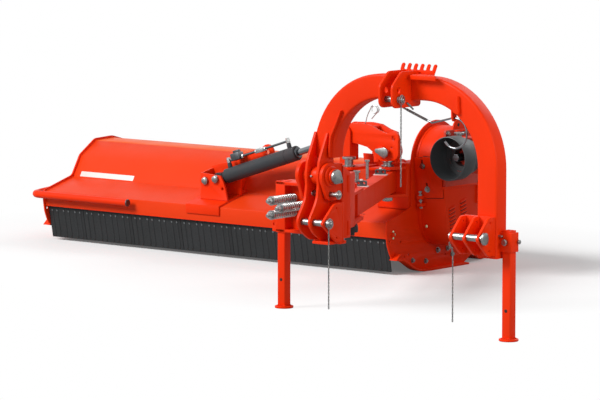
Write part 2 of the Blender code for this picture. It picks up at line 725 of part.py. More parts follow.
def arm_base(parent):
    """Break-away bracket: it turns on the float frame and carries the inner arm pins."""
    first = inner_front_pin()
    second = first + PIN_OFFSET
    lower, upper = fork_heights()
    post = rod((KNUCKLE_X, KNUCKLE_Y, 0.3525), (KNUCKLE_X, KNUCKLE_Y, 0.5845), KNUCKLE, 16)
    stub = rod((KNUCKLE_X, KNUCKLE_Y, 0.334), (KNUCKLE_X, KNUCKLE_Y, 0.604), KNUCKLE_STUB, 16)
    web = plate("z", 0.356, 0.582, [(KNUCKLE_X - 0.0215, KNUCKLE_Y), (KNUCKLE_X + 0.0215, KNUCKLE_Y),
                                    (BASE_RIGHT, -0.985), (BASE_RIGHT - 0.018, -0.985)])
    back = block((2.060, -0.995, lower[0]), (BASE_RIGHT, -0.983, upper[1]))
    pieces = [post, stub, web, back]
    for low, high in (lower, upper):
        outline = fork_outline(first, second, ((2.060, -0.9945), (BASE_RIGHT - 0.0005, -0.9945)))
        pieces.append(plate("z", low, high, outline))
    for pin in (first, second):
        pieces.append(rod((*pin, lower[0] - 0.012), (*pin, upper[1] + 0.018), ARM_PIN, 16))
        pieces.append(rod((*pin, lower[0] - 0.014), (*pin, lower[0] + 0.001), 0.027, 6))
    shift_pin = shift_start()
    pieces.append(rod((*shift_pin, SHIFT_CYLINDER_Z + 0.014 + GAP), (*shift_pin, lower[1]), 0.012, 12))
    return finish("arm_base", join(*pieces), "paint", (KNUCKLE_X, KNUCKLE_Y, 0.45), parent)


def arm_beam(start, end, half_width, low, high):
    """Beam between two pin bosses, seen from above."""
    along = (end - start).normalized()
    side = Vector((along.y, -along.x))
    corners = [start + side * half_width, end + side * half_width,
               end - side * half_width, start - side * half_width]
    beam = plate("z", low + 0.002, high - 0.002, [tuple(corner) for corner in corners])
    bosses = [rod((*pin, low), (*pin, high), ARM_BOSS, 20) for pin in (start, end)]
    return join(beam, *bosses)


def front_arm(parent):
    start = inner_front_pin()
    end = OUTER_FRONT_PIN
    piece = arm_beam(start, end, ARM_HALF_WIDTH, ARM_LOW, ARM_HIGH)
    bores = [rod((*pin, ARM_LOW - 0.01), (*pin, ARM_HIGH + 0.01), ARM_PIN + RUNNING_GAP, 16)
             for pin in (start, end)]
    return finish("front_arm", cut(piece, *bores), "paint", (*start, ARM_LOW), parent)


def spool(pin, low):
    """Two flanges on a neck at the top of an outer arm pin."""
    return [rod((*pin, low), (*pin, low + 0.007), 0.028, 16),
            rod((*pin, low + 0.006), (*pin, low + 0.024), 0.019, 12),
            rod((*pin, low + 0.023), (*pin, low + 0.032), 0.030, 16)]


def rear_arm(parent):
    """Second arm of the parallelogram with its outer pin."""
    start = inner_front_pin() + PIN_OFFSET
    end = OUTER_FRONT_PIN + PIN_OFFSET
    lower, upper = fork_heights()
    beam = arm_beam(start, end, REAR_ARM_HALF_WIDTH, ARM_LOW, ARM_HIGH)
    pin = rod((*end, lower[0] - 0.020), (*end, upper[1] + 0.003), ARM_PIN, 16)
    piece = join(beam, pin, *spool(end, upper[1] + GAP))
    bore = rod((*start, ARM_LOW - 0.01), (*start, ARM_HIGH + 0.01), ARM_PIN + RUNNING_GAP, 16)
    return finish("rear_arm", cut(piece, bore), "paint", (*start, ARM_LOW), parent)


def front_arm_outer_pin(parent):
    lower, upper = fork_heights()
    pin = OUTER_FRONT_PIN
    low = upper[1] + GAP
    shank = rod((*pin, lower[0] - 0.020), (*pin, low + 0.003), ARM_PIN - RUNNING_GAP, 16)
    neck = [rod((*pin, low), (*pin, low + 0.007), 0.028, 16),
            rod((*pin, low + 0.006), (*pin, low + 0.021), 0.019, 12)]
    flag = plate("z", low + 0.020, low + 0.0265, teardrop(tuple(pin), 0.026, 0.034, 155))
    nut = rod((*pin, lower[0] - 0.018), (*pin, lower[0] - GAP), 0.026, 6)
    return finish("front_arm_outer_pin", join(shank, *neck, flag, nut), "zinc", (*pin, low), parent)


def pipe_clamp(name, distance, parent):
    """Twin pipe clamp on a base plate on top of the front arm."""
    place = OUTER_FRONT_PIN - distance * arm_direction()
    base_z = ARM_HIGH - 0.002 + GAP
    base = block((-0.028, -0.016, 0), (0.028, 0.016, 0.004))
    body = block((-0.023, -0.012, 0.0035), (0.023, 0.012, 0.026))
    bolt = rod((0, 0, 0.025), (0, 0, 0.032), 0.006, 6)
    cutters = [rod((x, -0.03, 0.015), (x, 0.03, 0.015), 0.006, 10) for x in (-0.012, 0.012)]
    piece = cut(join(base, body, bolt), *cutters)
    piece.data.transform(Matrix.Translation((*place, base_z)) @ Matrix.Rotation(ARM_ANGLE, 4, "Z"))
    return finish(name, piece, "plastic", (*place, base_z), parent)


def shift_start():
    return inner_front_pin() + Vector((0.0, 0.0))


def shift_end():
    return OUTER_FRONT_PIN + PIN_OFFSET


def shift_cylinder(base_parent):
    """Side shift cylinder under the arms, along the parallelogram's long diagonal."""
    start = shift_start()
    end = shift_end()
    along = (end - start).normalized()
    z = SHIFT_CYLINDER_Z

    def at(distance, height=z):
        place = start + along * distance
        return (place.x, place.y, height)

    length = (end - start).length
    barrel = rod(at(0.028), at(0.520), 0.0225, 16)
    eye = rod(at(0, z - 0.014), at(0, z + 0.014), 0.022, 16)
    neck = rod(at(0.012), at(0.036), 0.0125, 12)
    ports = [rod(at(distance, z - 0.036), at(distance, z - 0.018), 0.009, 8) for distance in (0.06, 0.48)]
    bore = rod(at(0.045), at(0.505), 0.018, 12)
    gland = rod(at(0.49), at(0.54), 0.0105, 12)
    barrel = finish("shift_cylinder_barrel", cut(join(barrel, neck, eye, *ports), bore, gland), "dark paint",
                    (start.x, start.y, z), base_parent)
    piston = rod(at(0.27), at(0.30), 0.0175, 12)
    shaft = rod(at(0.28), at(length - 0.015), 0.010, 12)
    rod_eye = rod(at(length, z - 0.014), at(length, z + 0.014), 0.020, 16)
    finish("shift_cylinder_rod", join(piston, shaft, rod_eye), "chrome", (start.x, start.y, z), barrel)


def tilt_carrier(parent):
    """Outer bracket of the parallelogram, with the deck's hinge pin and the rocker's boss."""
    first = OUTER_FRONT_PIN
    second = first + PIN_OFFSET
    lower, upper = fork_heights()
    face = plate("y", -0.006, 0.015, [
        (1.700, lower[0]), (1.912, lower[0]), (1.917, 0.600), (1.832, 0.600), (1.800, 0.515),
        (1.700, upper[1])])
    pieces = [face]
    for low, high in (lower, upper):
        outline = fork_outline(first, second, ((1.700, 0.0), (1.912, 0.0)))
        holes = [circle(first, ARM_PIN + RUNNING_GAP), circle(second, ARM_PIN + 2 * RUNNING_GAP)]
        pieces.append(plate("z", low, high, outline, holes))
    pieces.append(rod((HINGE_X, 0.010, HINGE_Z), (HINGE_X, HINGE_FRONT - 0.003, HINGE_Z), 0.040, 20))
    pieces.append(rod((HINGE_X, 0.10, HINGE_Z), (HINGE_X, HINGE_REAR + 0.006, HINGE_Z), HINGE_PIN, 16))
    pieces.append(rod((ROCKER_X, -0.137, ROCKER_Z), (ROCKER_X, 0.010, ROCKER_Z), 0.026, 20))
    pieces.append(rod((1.800, -0.060, upper[0]), (1.800, -0.060, 0.548), 0.006, 8))
    pieces.append(rod((1.800, -0.060, 0.546), (1.800, -0.060, 0.552), 0.010, 10))
    piece = join(*pieces)
    bore = rod((ROCKER_X, -0.16, ROCKER_Z), (ROCKER_X, -0.08, ROCKER_Z), 0.0125, 12)
    return finish("tilt_carrier", cut(piece, bore), "paint", (*first, ARM_LOW), parent)


def from_rocker(dx, dz):
    return (ROCKER_X + dx, ROCKER_Z + dz)


def rocker_outline(with_lobe):
    """Side shape of the rocker, from its hub round the eye and the lock lobe, in X and Z."""
    if with_lobe:
        outline = arc((ROCKER_X, ROCKER_Z), 0.042, 200, 270, 4)
        outline += arc(from_rocker(0.048, 0.002), 0.038, 275, 355, 4)
        outline += arc(from_rocker(0.059, 0.064), 0.029, -20, 110, 6)
    else:
        outline = arc((ROCKER_X, ROCKER_Z), 0.042, 200, 380, 9)
    outline += [from_rocker(0.020, 0.083), from_rocker(-0.022, 0.094), from_rocker(-0.066, 0.113)]
    outline += [from_rocker(-0.120, 0.119)]
    outline += arc((LINK_X, LINK_Z), 0.041, 80, 250, 8)
    outline += [from_rocker(-0.142, 0.027), from_rocker(-0.087, 0.016)]
    return outline


def rocker_arm(parent):
    """Twin-plate rocker between the cylinder, the link and the carrier."""
    hub = circle((ROCKER_X, ROCKER_Z), 0.0265, 20)
    lock_hole = circle(from_rocker(0.059, 0.064), 0.011, 12)
    small_hole = circle(from_rocker(0.049, 0.022), 0.005, 8)
    front = plate("y", -0.124, -0.112, rocker_outline(True), (hub, lock_hole, small_hole))
    rear = plate("y", -0.046, -0.034, rocker_outline(False), (hub,))
    web = block((1.740, -0.115, ROCKER_Z + 0.098), (1.800, -0.040, ROCKER_Z + 0.106))
    spacer = rod((1.760, -0.115, 0.620), (1.760, -0.040, 0.620), 0.012, 10)
    pin = rod((LINK_X, -0.130, LINK_Z), (LINK_X, 0.0345, LINK_Z), 0.0125, 12)
    piece = join(front, rear, web, spacer, pin)
    return finish("rocker_arm", piece, "paint", (ROCKER_X, -0.08, ROCKER_Z), parent)


def rocker_pin(parent):
    shank = rod((ROCKER_X, -0.140, ROCKER_Z), (ROCKER_X, -0.085, ROCKER_Z), 0.0118, 12)
    flag = plate("y", -0.149, -0.1375, teardrop((ROCKER_X + 0.022, ROCKER_Z), 0.0225, 0.040, 172))
    return finish("rocker_pin", join(shank, flag), "zinc", (ROCKER_X, -0.14, ROCKER_Z), parent)


def tilt_link(parent):
    """Fork link from the rocker down to the deck."""
    eye = (LINK_X, LINK_Z)
    foot = (LINK_FOOT_X, LINK_FOOT_Z)
    outline = around_circles(eye, 0.027, foot, 0.022, 6)
    eye_hole = circle(eye, 0.0125 + RUNNING_GAP, 12)
    front = plate("y", 0.0215, 0.0335, outline, (eye_hole,))
    rear = plate("y", 0.0865, 0.0945, outline)
    cross = rod((*foot[:1], 0.0325, foot[1]), (foot[0], 0.0875, foot[1]), 0.016, 12)
    return finish("tilt_link", join(front, rear, cross), "paint", (LINK_X, 0.03, LINK_Z), parent)


def hose_guide(parent):
    """Pigtail of spring wire on top of the rocker."""
    x, y, z = 1.771, -0.100, ROCKER_Z + 0.1065
    points = [(x, y, z), (x + 0.002, y, z + 0.020), (x + 0.022, y, z + 0.072)]
    for step in range(19):
        angle = math.radians(205 - 30 * step)
        points.append((x + 0.034 + 0.022 * math.cos(angle), y + 0.0016 * step,
                       z + 0.098 + 0.022 * math.sin(angle)))
    points.append((x + 0.061, y + 0.030, z + 0.088))
    return finish("hose_guide", wire(points, 0.0022), "steel", (x, y, z), parent)


def cylinder_axis():
    run = Vector((LINK_X - CYLINDER_X, 0, LINK_Z - CYLINDER_Z))
    return run.normalized(), run.length


def on_cylinder(distance, side=0.0, lift=0.0):
    """Point beside the tilt cylinder's axis: side is along Y, lift is square to the axis."""
    along, _ = cylinder_axis()
    up = Vector((-along.z, 0, along.x))
    place = Vector((CYLINDER_X, CYLINDER_Y + side, CYLINDER_Z)) + along * distance + up * lift
    return tuple(place)


def tilt_cylinder_barrel(parent):
    body = rod(on_cylinder(BARREL_START), on_cylinder(BARREL_END), BARREL_RADIUS, 24)
    neck = rod(on_cylinder(0.005), on_cylinder(BARREL_START + 0.004), 0.022, 12)
    eye = rod((CYLINDER_X, 0.0345, CYLINDER_Z), (CYLINDER_X, 0.0855, CYLINDER_Z), 0.027, 16)
    ports = [rod(on_cylinder(distance, 0, 0.030), on_cylinder(distance, 0, 0.056), 0.009, 10)
             for distance in (0.070, 0.440)]
    bore = rod(on_cylinder(0.060), on_cylinder(0.465), BARREL_BORE, 16)
    gland = rod(on_cylinder(0.45), on_cylinder(0.50), ROD_RADIUS + RUNNING_GAP, 16)
    pin_hole = rod((CYLINDER_X, 0.02, CYLINDER_Z), (CYLINDER_X, 0.10, CYLINDER_Z), 0.0130, 12)
    piece = cut(join(body, neck, eye, *ports), bore, gland, pin_hole)
    return finish("tilt_cylinder_barrel", piece, "dark paint", (CYLINDER_X, CYLINDER_Y, CYLINDER_Z), parent)


def tilt_cylinder_rod(parent):
    _, length = cylinder_axis()
    piston = rod(on_cylinder(0.285), on_cylinder(0.310), BARREL_BORE - RUNNING_GAP, 16)
    shaft = rod(on_cylinder(0.30), on_cylinder(length - 0.012), ROD_RADIUS, 16)
    eye = rod((LINK_X, 0.0395, LINK_Z), (LINK_X, 0.0805, LINK_Z), 0.024, 16)
    piece = join(piston, shaft, eye)
    return finish("tilt_cylinder_rod", piece, "chrome", (CYLINDER_X, CYLINDER_Y, CYLINDER_Z), parent)


def valve_line(parent):
    """Lock valve, tee and pipes on the cylinder's two ports."""
    lift = 0.0655
    low_joint = rod(on_cylinder(0.070, 0, 0.0563), on_cylinder(0.070, 0, 0.080), 0.010, 8)
    high_joint = rod(on_cylinder(0.440, 0, 0.0563), on_cylinder(0.440, 0, 0.080), 0.010, 8)
    pipe = rod(on_cylinder(0.065, 0, lift), on_cylinder(0.445, 0, lift), 0.0055, 8)
    valve = block((-0.026, -0.018, -0.020), (0.026, 0.018, 0.026))
    tee = block((-0.022, -0.010, -0.010), (0.022, 0.010, 0.010))
    along, _ = cylinder_axis()
    turn = Matrix.Rotation(-math.atan2(along.z, along.x), 4, "Y")
    valve.data.transform(Matrix.Translation(on_cylinder(0.125, 0, lift + 0.010)) @ turn)
    tee.data.transform(Matrix.Translation(on_cylinder(0.270, 0, lift)) @ turn)
    piece = join(pipe, low_joint, high_joint, valve, tee)
    return finish("valve_line", piece, "steel", on_cylinder(0.07, 0, 0.056), parent)


def hood_profile():
    """Outer line of the hood from the lip over the top and down behind the roller, in Y and Z."""
    return [(LIP_Y, LIP_LOW_Z), (LIP_Y, LIP_TOP_Z), (SHELF_Y, SHELF_Z), (0.209, 0.387),
            (0.315, 0.453), (0.435, 0.458), (0.560, 0.425), (0.680, 0.350), (0.765, 0.250), (0.775, 0.190)]


def offset_line(points, distance):
    """Line parallel to an open line, on its right side."""
    shifted = []
    for index, point in enumerate(points):
        here = Vector(point)
        before = (here - Vector(points[index - 1])).normalized() if index > 0 else None
        after = (Vector(points[index + 1]) - here).normalized() if index < len(points) - 1 else None
        first = before or after
        second = after or before
        normal = (Vector((first.y, -first.x)) + Vector((second.y, -second.x))).normalized()
        spread = normal.dot(Vector((first.y, -first.x)))
        shifted.append(tuple(here + normal * distance / spread))
    return shifted


def hood_shell():
    outer = hood_profile()
    inner = offset_line(outer, HOOD_SHEET)
    left = DECK_LEFT + END_PLATE + GAP
    right = DECK_RIGHT - END_PLATE - GAP
    return finish("hood_shell", plate("x", left, right, outer + inner[::-1]), "paint",
                  (HINGE_X, HINGE_FRONT, HINGE_Z))


def end_plate_front():
    """Front and lower edge that both end plates share, in Y and Z."""
    return [(-0.052, 0.243), (-0.057, 0.198), (-0.048, 0.140), (-0.034, 0.105), (-0.016, 0.0735),
            (0.032, 0.0682), (0.0905, 0.0368), (0.132, 0.0176), (0.182, 0.0072), (0.230, 0.0045)]


def end_plate_rear():
    return [(0.519, 0.0045), (0.545, 0.018), (0.580, 0.038), (0.640, 0.047), (0.715, 0.049),
            (0.757, 0.068), (0.780, 0.110), (0.790, 0.190), (0.772, 0.256),
            (0.685, 0.358), (0.564, 0.434)]


def skid(inner_x, outer_x):
    """Wear skid: a strip along the plate's foot that rises in front and folds back at its nose."""
    strip = [(-0.024, 0.070), (0.030, 0.064), (0.088, 0.033), (0.130, 0.0135), (0.180, 0.003), (0.230, 0.0),
             (0.522, 0.0), (0.522, 0.008), (0.232, 0.008), (0.184, 0.011), (0.134, 0.0215), (0.093, 0.0405),
             (0.034, 0.072), (-0.010, 0.0765), (0.014, 0.0925), (0.008, 0.0975)]
    return plate("x", inner_x, outer_x, strip)


def shaft_holes():
    return [circle((ROTOR_Y, ROTOR_Z), ROTOR_SHAFT + RUNNING_GAP, 16),
            circle((ROLLER_Y, ROLLER_RADIUS), ROLLER_AXLE + RUNNING_GAP, 12)]


def bearing(low, high, cut_low, cut_high):
    ring = rod((low, ROTOR_Y, ROTOR_Z), (high, ROTOR_Y, ROTOR_Z), 0.055, 20)
    bore = rod((cut_low, ROTOR_Y, ROTOR_Z), (cut_high, ROTOR_Y, ROTOR_Z), ROTOR_SHAFT + RUNNING_GAP, 16)
    return cut(ring, bore)


def left_end_plate(parent):
    outline = end_plate_front() + end_plate_rear()
    outline += [(0.437, 0.468), (0.311, 0.463), (0.202, 0.393), (0.145, 0.298)]
    sheet = plate("x", DECK_LEFT, DECK_LEFT + END_PLATE, outline, shaft_holes())
    housing = bearing(DECK_LEFT - 0.030, DECK_LEFT + 0.002, DECK_LEFT - 0.05, DECK_LEFT + 0.02)
    piece = join(sheet, housing, skid(DECK_LEFT - 0.030, DECK_LEFT + 0.010))
    return finish("left_end_plate", piece, "paint", (DECK_LEFT, ROTOR_Y, ROTOR_Z), parent)


def right_end_plate(parent):
    outline = end_plate_front() + end_plate_rear()
    outline += [(0.500, 0.462)]
    outline += arc(BACK_ARC[:2], BACK_ARC[2], 0, 180, 16)
    outline += [(BACK_ARC[0] - BACK_ARC[2], 0.300), (0.100, 0.287)]
    sheet = plate("x", DECK_RIGHT - END_PLATE, DECK_RIGHT, outline, shaft_holes())
    housing = bearing(DECK_RIGHT - 0.002, DECK_RIGHT + 0.030, DECK_RIGHT - 0.02, DECK_RIGHT + 0.05)
    piece = join(sheet, housing, skid(DECK_RIGHT - 0.010, DECK_RIGHT + 0.030))
    return finish("right_end_plate", piece, "paint", (DECK_RIGHT, ROTOR_Y, ROTOR_Z), parent)


def cylinder_bracket(parent):
    """Welded bracket on the hood that carries the tilt cylinder's base pin and the transport lug."""
    front = plate("y", 0.014, 0.024, [(0.700, 0.2555), (0.862, 0.2555), (0.850, 0.310), (0.838, 0.345),
                                      (0.820, 0.374), (0.700, 0.382)],
                  (circle((0.832, 0.315), 0.008, 10),))
    side = plate("x", 0.6995, 0.709, [(0.0145, 0.2550), (0.150, 0.2910), (0.2085, 0.3890), (0.252, 0.4162),
                                      (0.195, 0.4165), (0.0145, 0.381)])
    rear = [(0.700, 0.283), (0.880, 0.283), (0.960, 0.400), (1.060, 0.455)]
    rear += arc((1.034, 0.492), 0.036, -50, 140, 8)
    rear += [(0.900, 0.478), (0.780, 0.428), (0.700, 0.405)]
    lug = plate("y", 0.097, 0.107, rear, (circle((1.034, 0.492), 0.011, 12),))
    gusset = plate("x", 0.828, 0.836, [(0.100, 0.2780), (0.150, 0.2910), (0.2065, 0.3860), (0.150, 0.3860),
                                       (0.100, 0.3700)])
    saddle = plate("x", 0.666, 0.866, [(-0.0525, 0.199), (-0.0525, 0.2415), (0.150, 0.2975), (0.150, 0.2890),
                                       (-0.0455, 0.2362), (-0.0455, 0.199)])
    pin = rod((CYLINDER_X, 0.010, CYLINDER_Z), (CYLINDER_X, 0.114, CYLINDER_Z), 0.0125, 12)
    heads = [rod((x, 0.001, z), (x, 0.016, z), 0.0175, 12) for x, z in
             ((CYLINDER_X, CYLINDER_Z), (0.724, 0.347))]
    piece = join(saddle, front, side, lug, gusset, pin, *heads)
    return finish("cylinder_bracket", piece, "paint", (CYLINDER_X, CYLINDER_Y, CYLINDER_Z), parent)


def tilt_hinge_bracket(parent):
    """Hinge tube on two upright plates at the right end of the deck."""
    bore = circle((HINGE_X, HINGE_Z), HINGE_PIN + RUNNING_GAP, 16)
    corners = [(1.660, 0.2835), (1.8335, 0.2835), (1.8335, 0.440)]
    crown = corners + arc((HINGE_X, HINGE_Z), 0.0425, -10, 150, 8) + [(1.700, 0.450), (1.660, 0.440)]
    front = plate("y", HINGE_FRONT, HINGE_FRONT + 0.012, crown, (bore,))
    rear_crown = [(1.720, 0.4290), (1.8335, 0.4290)] + arc((HINGE_X, HINGE_Z), 0.0425, -10, 150, 8)
    rear = plate("y", HINGE_REAR - 0.012, HINGE_REAR, rear_crown, (bore,))
    tube = rod((HINGE_X, HINGE_FRONT + 0.005, HINGE_Z), (HINGE_X, HINGE_REAR - 0.005, HINGE_Z), HINGE_TUBE, 20)
    tube = cut(tube, rod((HINGE_X, 0.1, HINGE_Z), (HINGE_X, 0.32, HINGE_Z), HINGE_PIN + RUNNING_GAP, 16))
    ribs = [plate("x", x, x + 0.010, [(0.120, 0.2840), (0.150, 0.2912), (0.2075, 0.3880), (0.2740, 0.4292),
                                      (0.2740, 0.455), (0.120, 0.448)]) for x in (1.7005, 1.8230)]
    piece = join(front, rear, tube, *ribs)
    foot_pin = rod((LINK_FOOT_X, 0.0985, LINK_FOOT_Z), (LINK_FOOT_X, 0.118, LINK_FOOT_Z), 0.016, 12)
    return finish("tilt_hinge_bracket", join(piece, foot_pin), "paint", (HINGE_X, HINGE_FRONT, HINGE_Z), parent)


def bumper_tube(parent):
    """Round guard bar round the deck's front left corner."""
    z = 0.2225
    front_y = -0.0815
    side_x = -0.282
    bend = 0.050
    points = [(0.330, front_y, z), (side_x + bend, front_y, z)]
    points += [(x, y, z) for x, y in arc((side_x + bend, front_y + bend), bend, -100, -170, 6)]
    points += [(side_x, front_y + bend + 0.01, z + 0.002), (side_x, 0.225, z + 0.020)]
    bar = wire(points, 0.0175, 4)
    brackets = [block((x, -0.078, 0.1985), (x + 0.036, LIP_Y - GAP, 0.2075)) for x in (-0.075, 0.212)]
    side = block((side_x, 0.165, 0.232), (DECK_LEFT - GAP, 0.205, 0.242))
    return finish("bumper_tube", join(bar, *brackets, side), "paint", (0, front_y, z), parent)


def flap(number, left, width, parent):
    """Rubber flap panel on its hinge bead, with upright ribs on its face."""
    drop = Vector((FLAP_BOTTOM_Y - FLAP_AXIS_Y, FLAP_BOTTOM_Z - FLAP_AXIS_Z))
    along = drop.normalized()
    across = Vector((along.y, -along.x))
    centre = Vector((FLAP_AXIS_Y, FLAP_AXIS_Z))
    half = FLAP_THICK / 2
    corners = [centre + across * half, centre - across * half,
               centre + drop - across * half, centre + drop + across * half]
    sheet = plate("x", left, left + width, [tuple(corner) for corner in corners])
    bead = rod((left, *centre), (left + width, *centre), FLAP_BEAD, 12)
    pitch = width / FLAP_RIBS
    ribs = []
    for rib in range(FLAP_RIBS):
        middle = left + pitch * (rib + 0.5)
        start = centre + along * 0.030
        end = centre + along * (drop.length - 0.010)
        side = across * (half + FLAP_RIB_HEIGHT)
        inner = across * (half - 0.001)
        outline = [tuple(start + inner), tuple(end + inner), tuple(end + side), tuple(start + side)]
        ribs.append(plate("x", middle - FLAP_RIB_WIDTH / 2, middle + FLAP_RIB_WIDTH / 2, outline))
    return finish(f"flap_{number}", join(sheet, bead, *ribs), "rubber", (left, *centre), parent)


def flaps(parent):
    left = -FIRST_FLAP
    widths = [FIRST_FLAP] + [FLAP_WIDTH] * (FLAP_COUNT - 2) + [LAST_FLAP]
    for number, width in enumerate(widths, 1):
        flap(number, left + FLAP_GAP / 2, width - FLAP_GAP, parent)
        left += width


def rotor(parent):
    """Rotor tube with pairs of hammers in a helix, its shaft and the driven pulley."""
    left = DECK_LEFT + END_PLATE + 0.020
    right = DECK_RIGHT - END_PLATE - 0.020
    tube = rod((left, ROTOR_Y, ROTOR_Z), (right, ROTOR_Y, ROTOR_Z), ROTOR_TUBE, 20)
    shaft = rod((DECK_LEFT - 0.034, ROTOR_Y, ROTOR_Z), (ROTOR_RIGHT, ROTOR_Y, ROTOR_Z), ROTOR_SHAFT, 16)
    pulley = rod((BELT_LEFT - 0.004, ROTOR_Y, ROTOR_Z), (BELT_RIGHT + 0.004, ROTOR_Y, ROTOR_Z), ROTOR_PULLEY, 24)
    pieces = [tube, shaft, pulley]
    first = 0.090
    stations = HAMMER_COUNT // 2
    pitch = (right - left - 2 * first) / (stations - 1)
    for number in range(HAMMER_COUNT):
        x = left + first + pitch * (number // 2)
        hammer = block((x - HAMMER_WIDTH / 2, -HAMMER_THICK / 2, 0.050),
                       (x + HAMMER_WIDTH / 2, HAMMER_THICK / 2, HAMMER_REACH))
        turn = Matrix.Rotation(math.radians(180 * (number % 2) + 80 * (number // 2)), 4, "X")
        hammer.data.transform(Matrix.Translation((0, ROTOR_Y, ROTOR_Z)) @ turn)
        pieces.append(hammer)
    return finish("rotor", join(*pieces), "steel", (DECK_LEFT, ROTOR_Y, ROTOR_Z), parent)


def rear_roller(parent):
    left = DECK_LEFT + END_PLATE
    right = DECK_RIGHT - END_PLATE
    drum = rod((left + 0.020, ROLLER_Y, ROLLER_RADIUS), (right - 0.020, ROLLER_Y, ROLLER_RADIUS), ROLLER_RADIUS, 32)
    axle = rod((DECK_LEFT - 0.004, ROLLER_Y, ROLLER_RADIUS), (DECK_RIGHT + 0.004, ROLLER_Y, ROLLER_RADIUS),
               ROLLER_AXLE, 12)
    return finish("rear_roller", join(drum, axle), "paint", (DECK_LEFT, ROLLER_Y, ROLLER_RADIUS), parent)


def belt_cover(parent):
    """Hollow cover over the pulleys, open towards the right end plate."""
    low = DECK_RIGHT + GAP
    upper = COVER_UPPER
    lower = COVER_LOWER
    outer = around_circles(lower[:2], lower[2], upper[:2], upper[2], 12)
    inner = around_circles(lower[:2], lower[2] - COVER_WALL, upper[:2], upper[2] - COVER_WALL, 12)
    piece = cut(plate("x", low, COVER_RIGHT, outer), plate("x", low - 0.01, COVER_RIGHT - COVER_WALL, inner),
                rod((COVER_RIGHT - 0.02, DRIVE_Y, DRIVE_Z), (COVER_RIGHT + 0.02, DRIVE_Y, DRIVE_Z), 0.030, 16))
    return finish("belt_cover", piece, "paint", (low, DRIVE_Y, DRIVE_Z), parent)


def gearbox(parent):
    """Bevel gearbox on its mounting plate beside the belt cover."""
    base = COVER_RIGHT + GAP
    mount = plate("x", base, base + 0.012, box_outline(0.150, 0.405, 0.390, 0.645))
    case = plate("y", GEARBOX_FRONT, GEARBOX_REAR, [
        (base + 0.010, 0.455), (2.160, 0.455), (2.185, 0.480), (2.185, 0.590), (2.160, 0.615), (base + 0.010, 0.615)])
    nose = rod((INPUT_X, GEARBOX_FRONT - 0.030, DRIVE_Z), (INPUT_X, GEARBOX_FRONT + 0.005, DRIVE_Z), 0.055, 20)
    cavity = block((base + 0.030, GEARBOX_FRONT + 0.015, 0.475), (2.170, GEARBOX_REAR - 0.010, 0.592))
    input_bore = rod((INPUT_X, 0.10, DRIVE_Z), (INPUT_X, DRIVE_Y, DRIVE_Z), INPUT_SHAFT + RUNNING_GAP, 16)
    output_bore = rod((base - 0.02, DRIVE_Y, DRIVE_Z), (INPUT_X, DRIVE_Y, DRIVE_Z), 0.020 + RUNNING_GAP, 16)
    piece = cut(join(mount, case, nose), cavity, input_bore, output_bore)
    return finish("gearbox", piece, "cast iron", (INPUT_X, DRIVE_Y, DRIVE_Z), parent)


def gearbox_input_shaft(parent):
    """Splined stub with its bevel pinion."""
    shaft = rod((INPUT_X, INPUT_FRONT, DRIVE_Z), (INPUT_X, 0.262, DRIVE_Z), INPUT_SHAFT, 16)
    pinion = rod((INPUT_X, 0.238, DRIVE_Z), (INPUT_X, 0.262, DRIVE_Z), 0.046, 16, 0.030)
    return finish("gearbox_input_shaft", join(shaft, pinion), "steel", (INPUT_X, INPUT_FRONT, DRIVE_Z), parent)


def drive_pulley(parent):
    """Output shaft with its bevel gear and the driving pulley."""
    left = BELT_LEFT - 0.004
    shaft = rod((left - 0.010, DRIVE_Y, DRIVE_Z), (2.066, DRIVE_Y, DRIVE_Z), 0.020, 16)
    pulley = rod((left, DRIVE_Y, DRIVE_Z), (BELT_RIGHT + 0.004, DRIVE_Y, DRIVE_Z), DRIVE_PULLEY, 24)
    gear = rod((2.046, DRIVE_Y, DRIVE_Z), (2.066, DRIVE_Y, DRIVE_Z), 0.028, 16, 0.0215)
    return finish("drive_pulley", join(shaft, pulley, gear), "steel", (left, DRIVE_Y, DRIVE_Z), parent)


def drive_belts(parent):
    """Set of belts side by side round the two pulleys."""
    clear = RUNNING_GAP + 0.0012
    lower = (ROTOR_Y, ROTOR_Z)
    upper = (DRIVE_Y, DRIVE_Z)
    inner = around_circles(lower, ROTOR_PULLEY + clear, upper, DRIVE_PULLEY + clear, 12)
    outer = around_circles(lower, ROTOR_PULLEY + clear + BELT_THICK, upper, DRIVE_PULLEY + clear + BELT_THICK, 12)
    piece = plate("x", BELT_LEFT, BELT_RIGHT, outer, (inner,))
    return finish("drive_belts", piece, "rubber", (BELT_LEFT, DRIVE_Y, DRIVE_Z), parent)


def pto_guard(parent):
    """Cup round the input shaft, open to the front."""
    rear = GEARBOX_FRONT - 0.030 - GAP
    outer = rod((INPUT_X, GUARD_FRONT, DRIVE_Z), (INPUT_X, rear, DRIVE_Z), GUARD_RADIUS, 28)
    hollow = rod((INPUT_X, GUARD_FRONT - 0.01, DRIVE_Z), (INPUT_X, GUARD_FLOOR, DRIVE_Z), GUARD_RADIUS - GUARD_WALL, 28)
    hole = rod((INPUT_X, GUARD_FLOOR - 0.02, DRIVE_Z), (INPUT_X, rear + 0.01, DRIVE_Z), 0.040, 16)
    shelf_clear = block((COVER_RIGHT - 0.02, GUARD_FRONT - 0.02, 0.40), (COVER_RIGHT + 0.0127, rear + 0.01, 0.66))
    return finish("pto_guard", cut(outer, hollow, hole, shelf_clear), "plastic", (INPUT_X, rear, DRIVE_Z), parent)


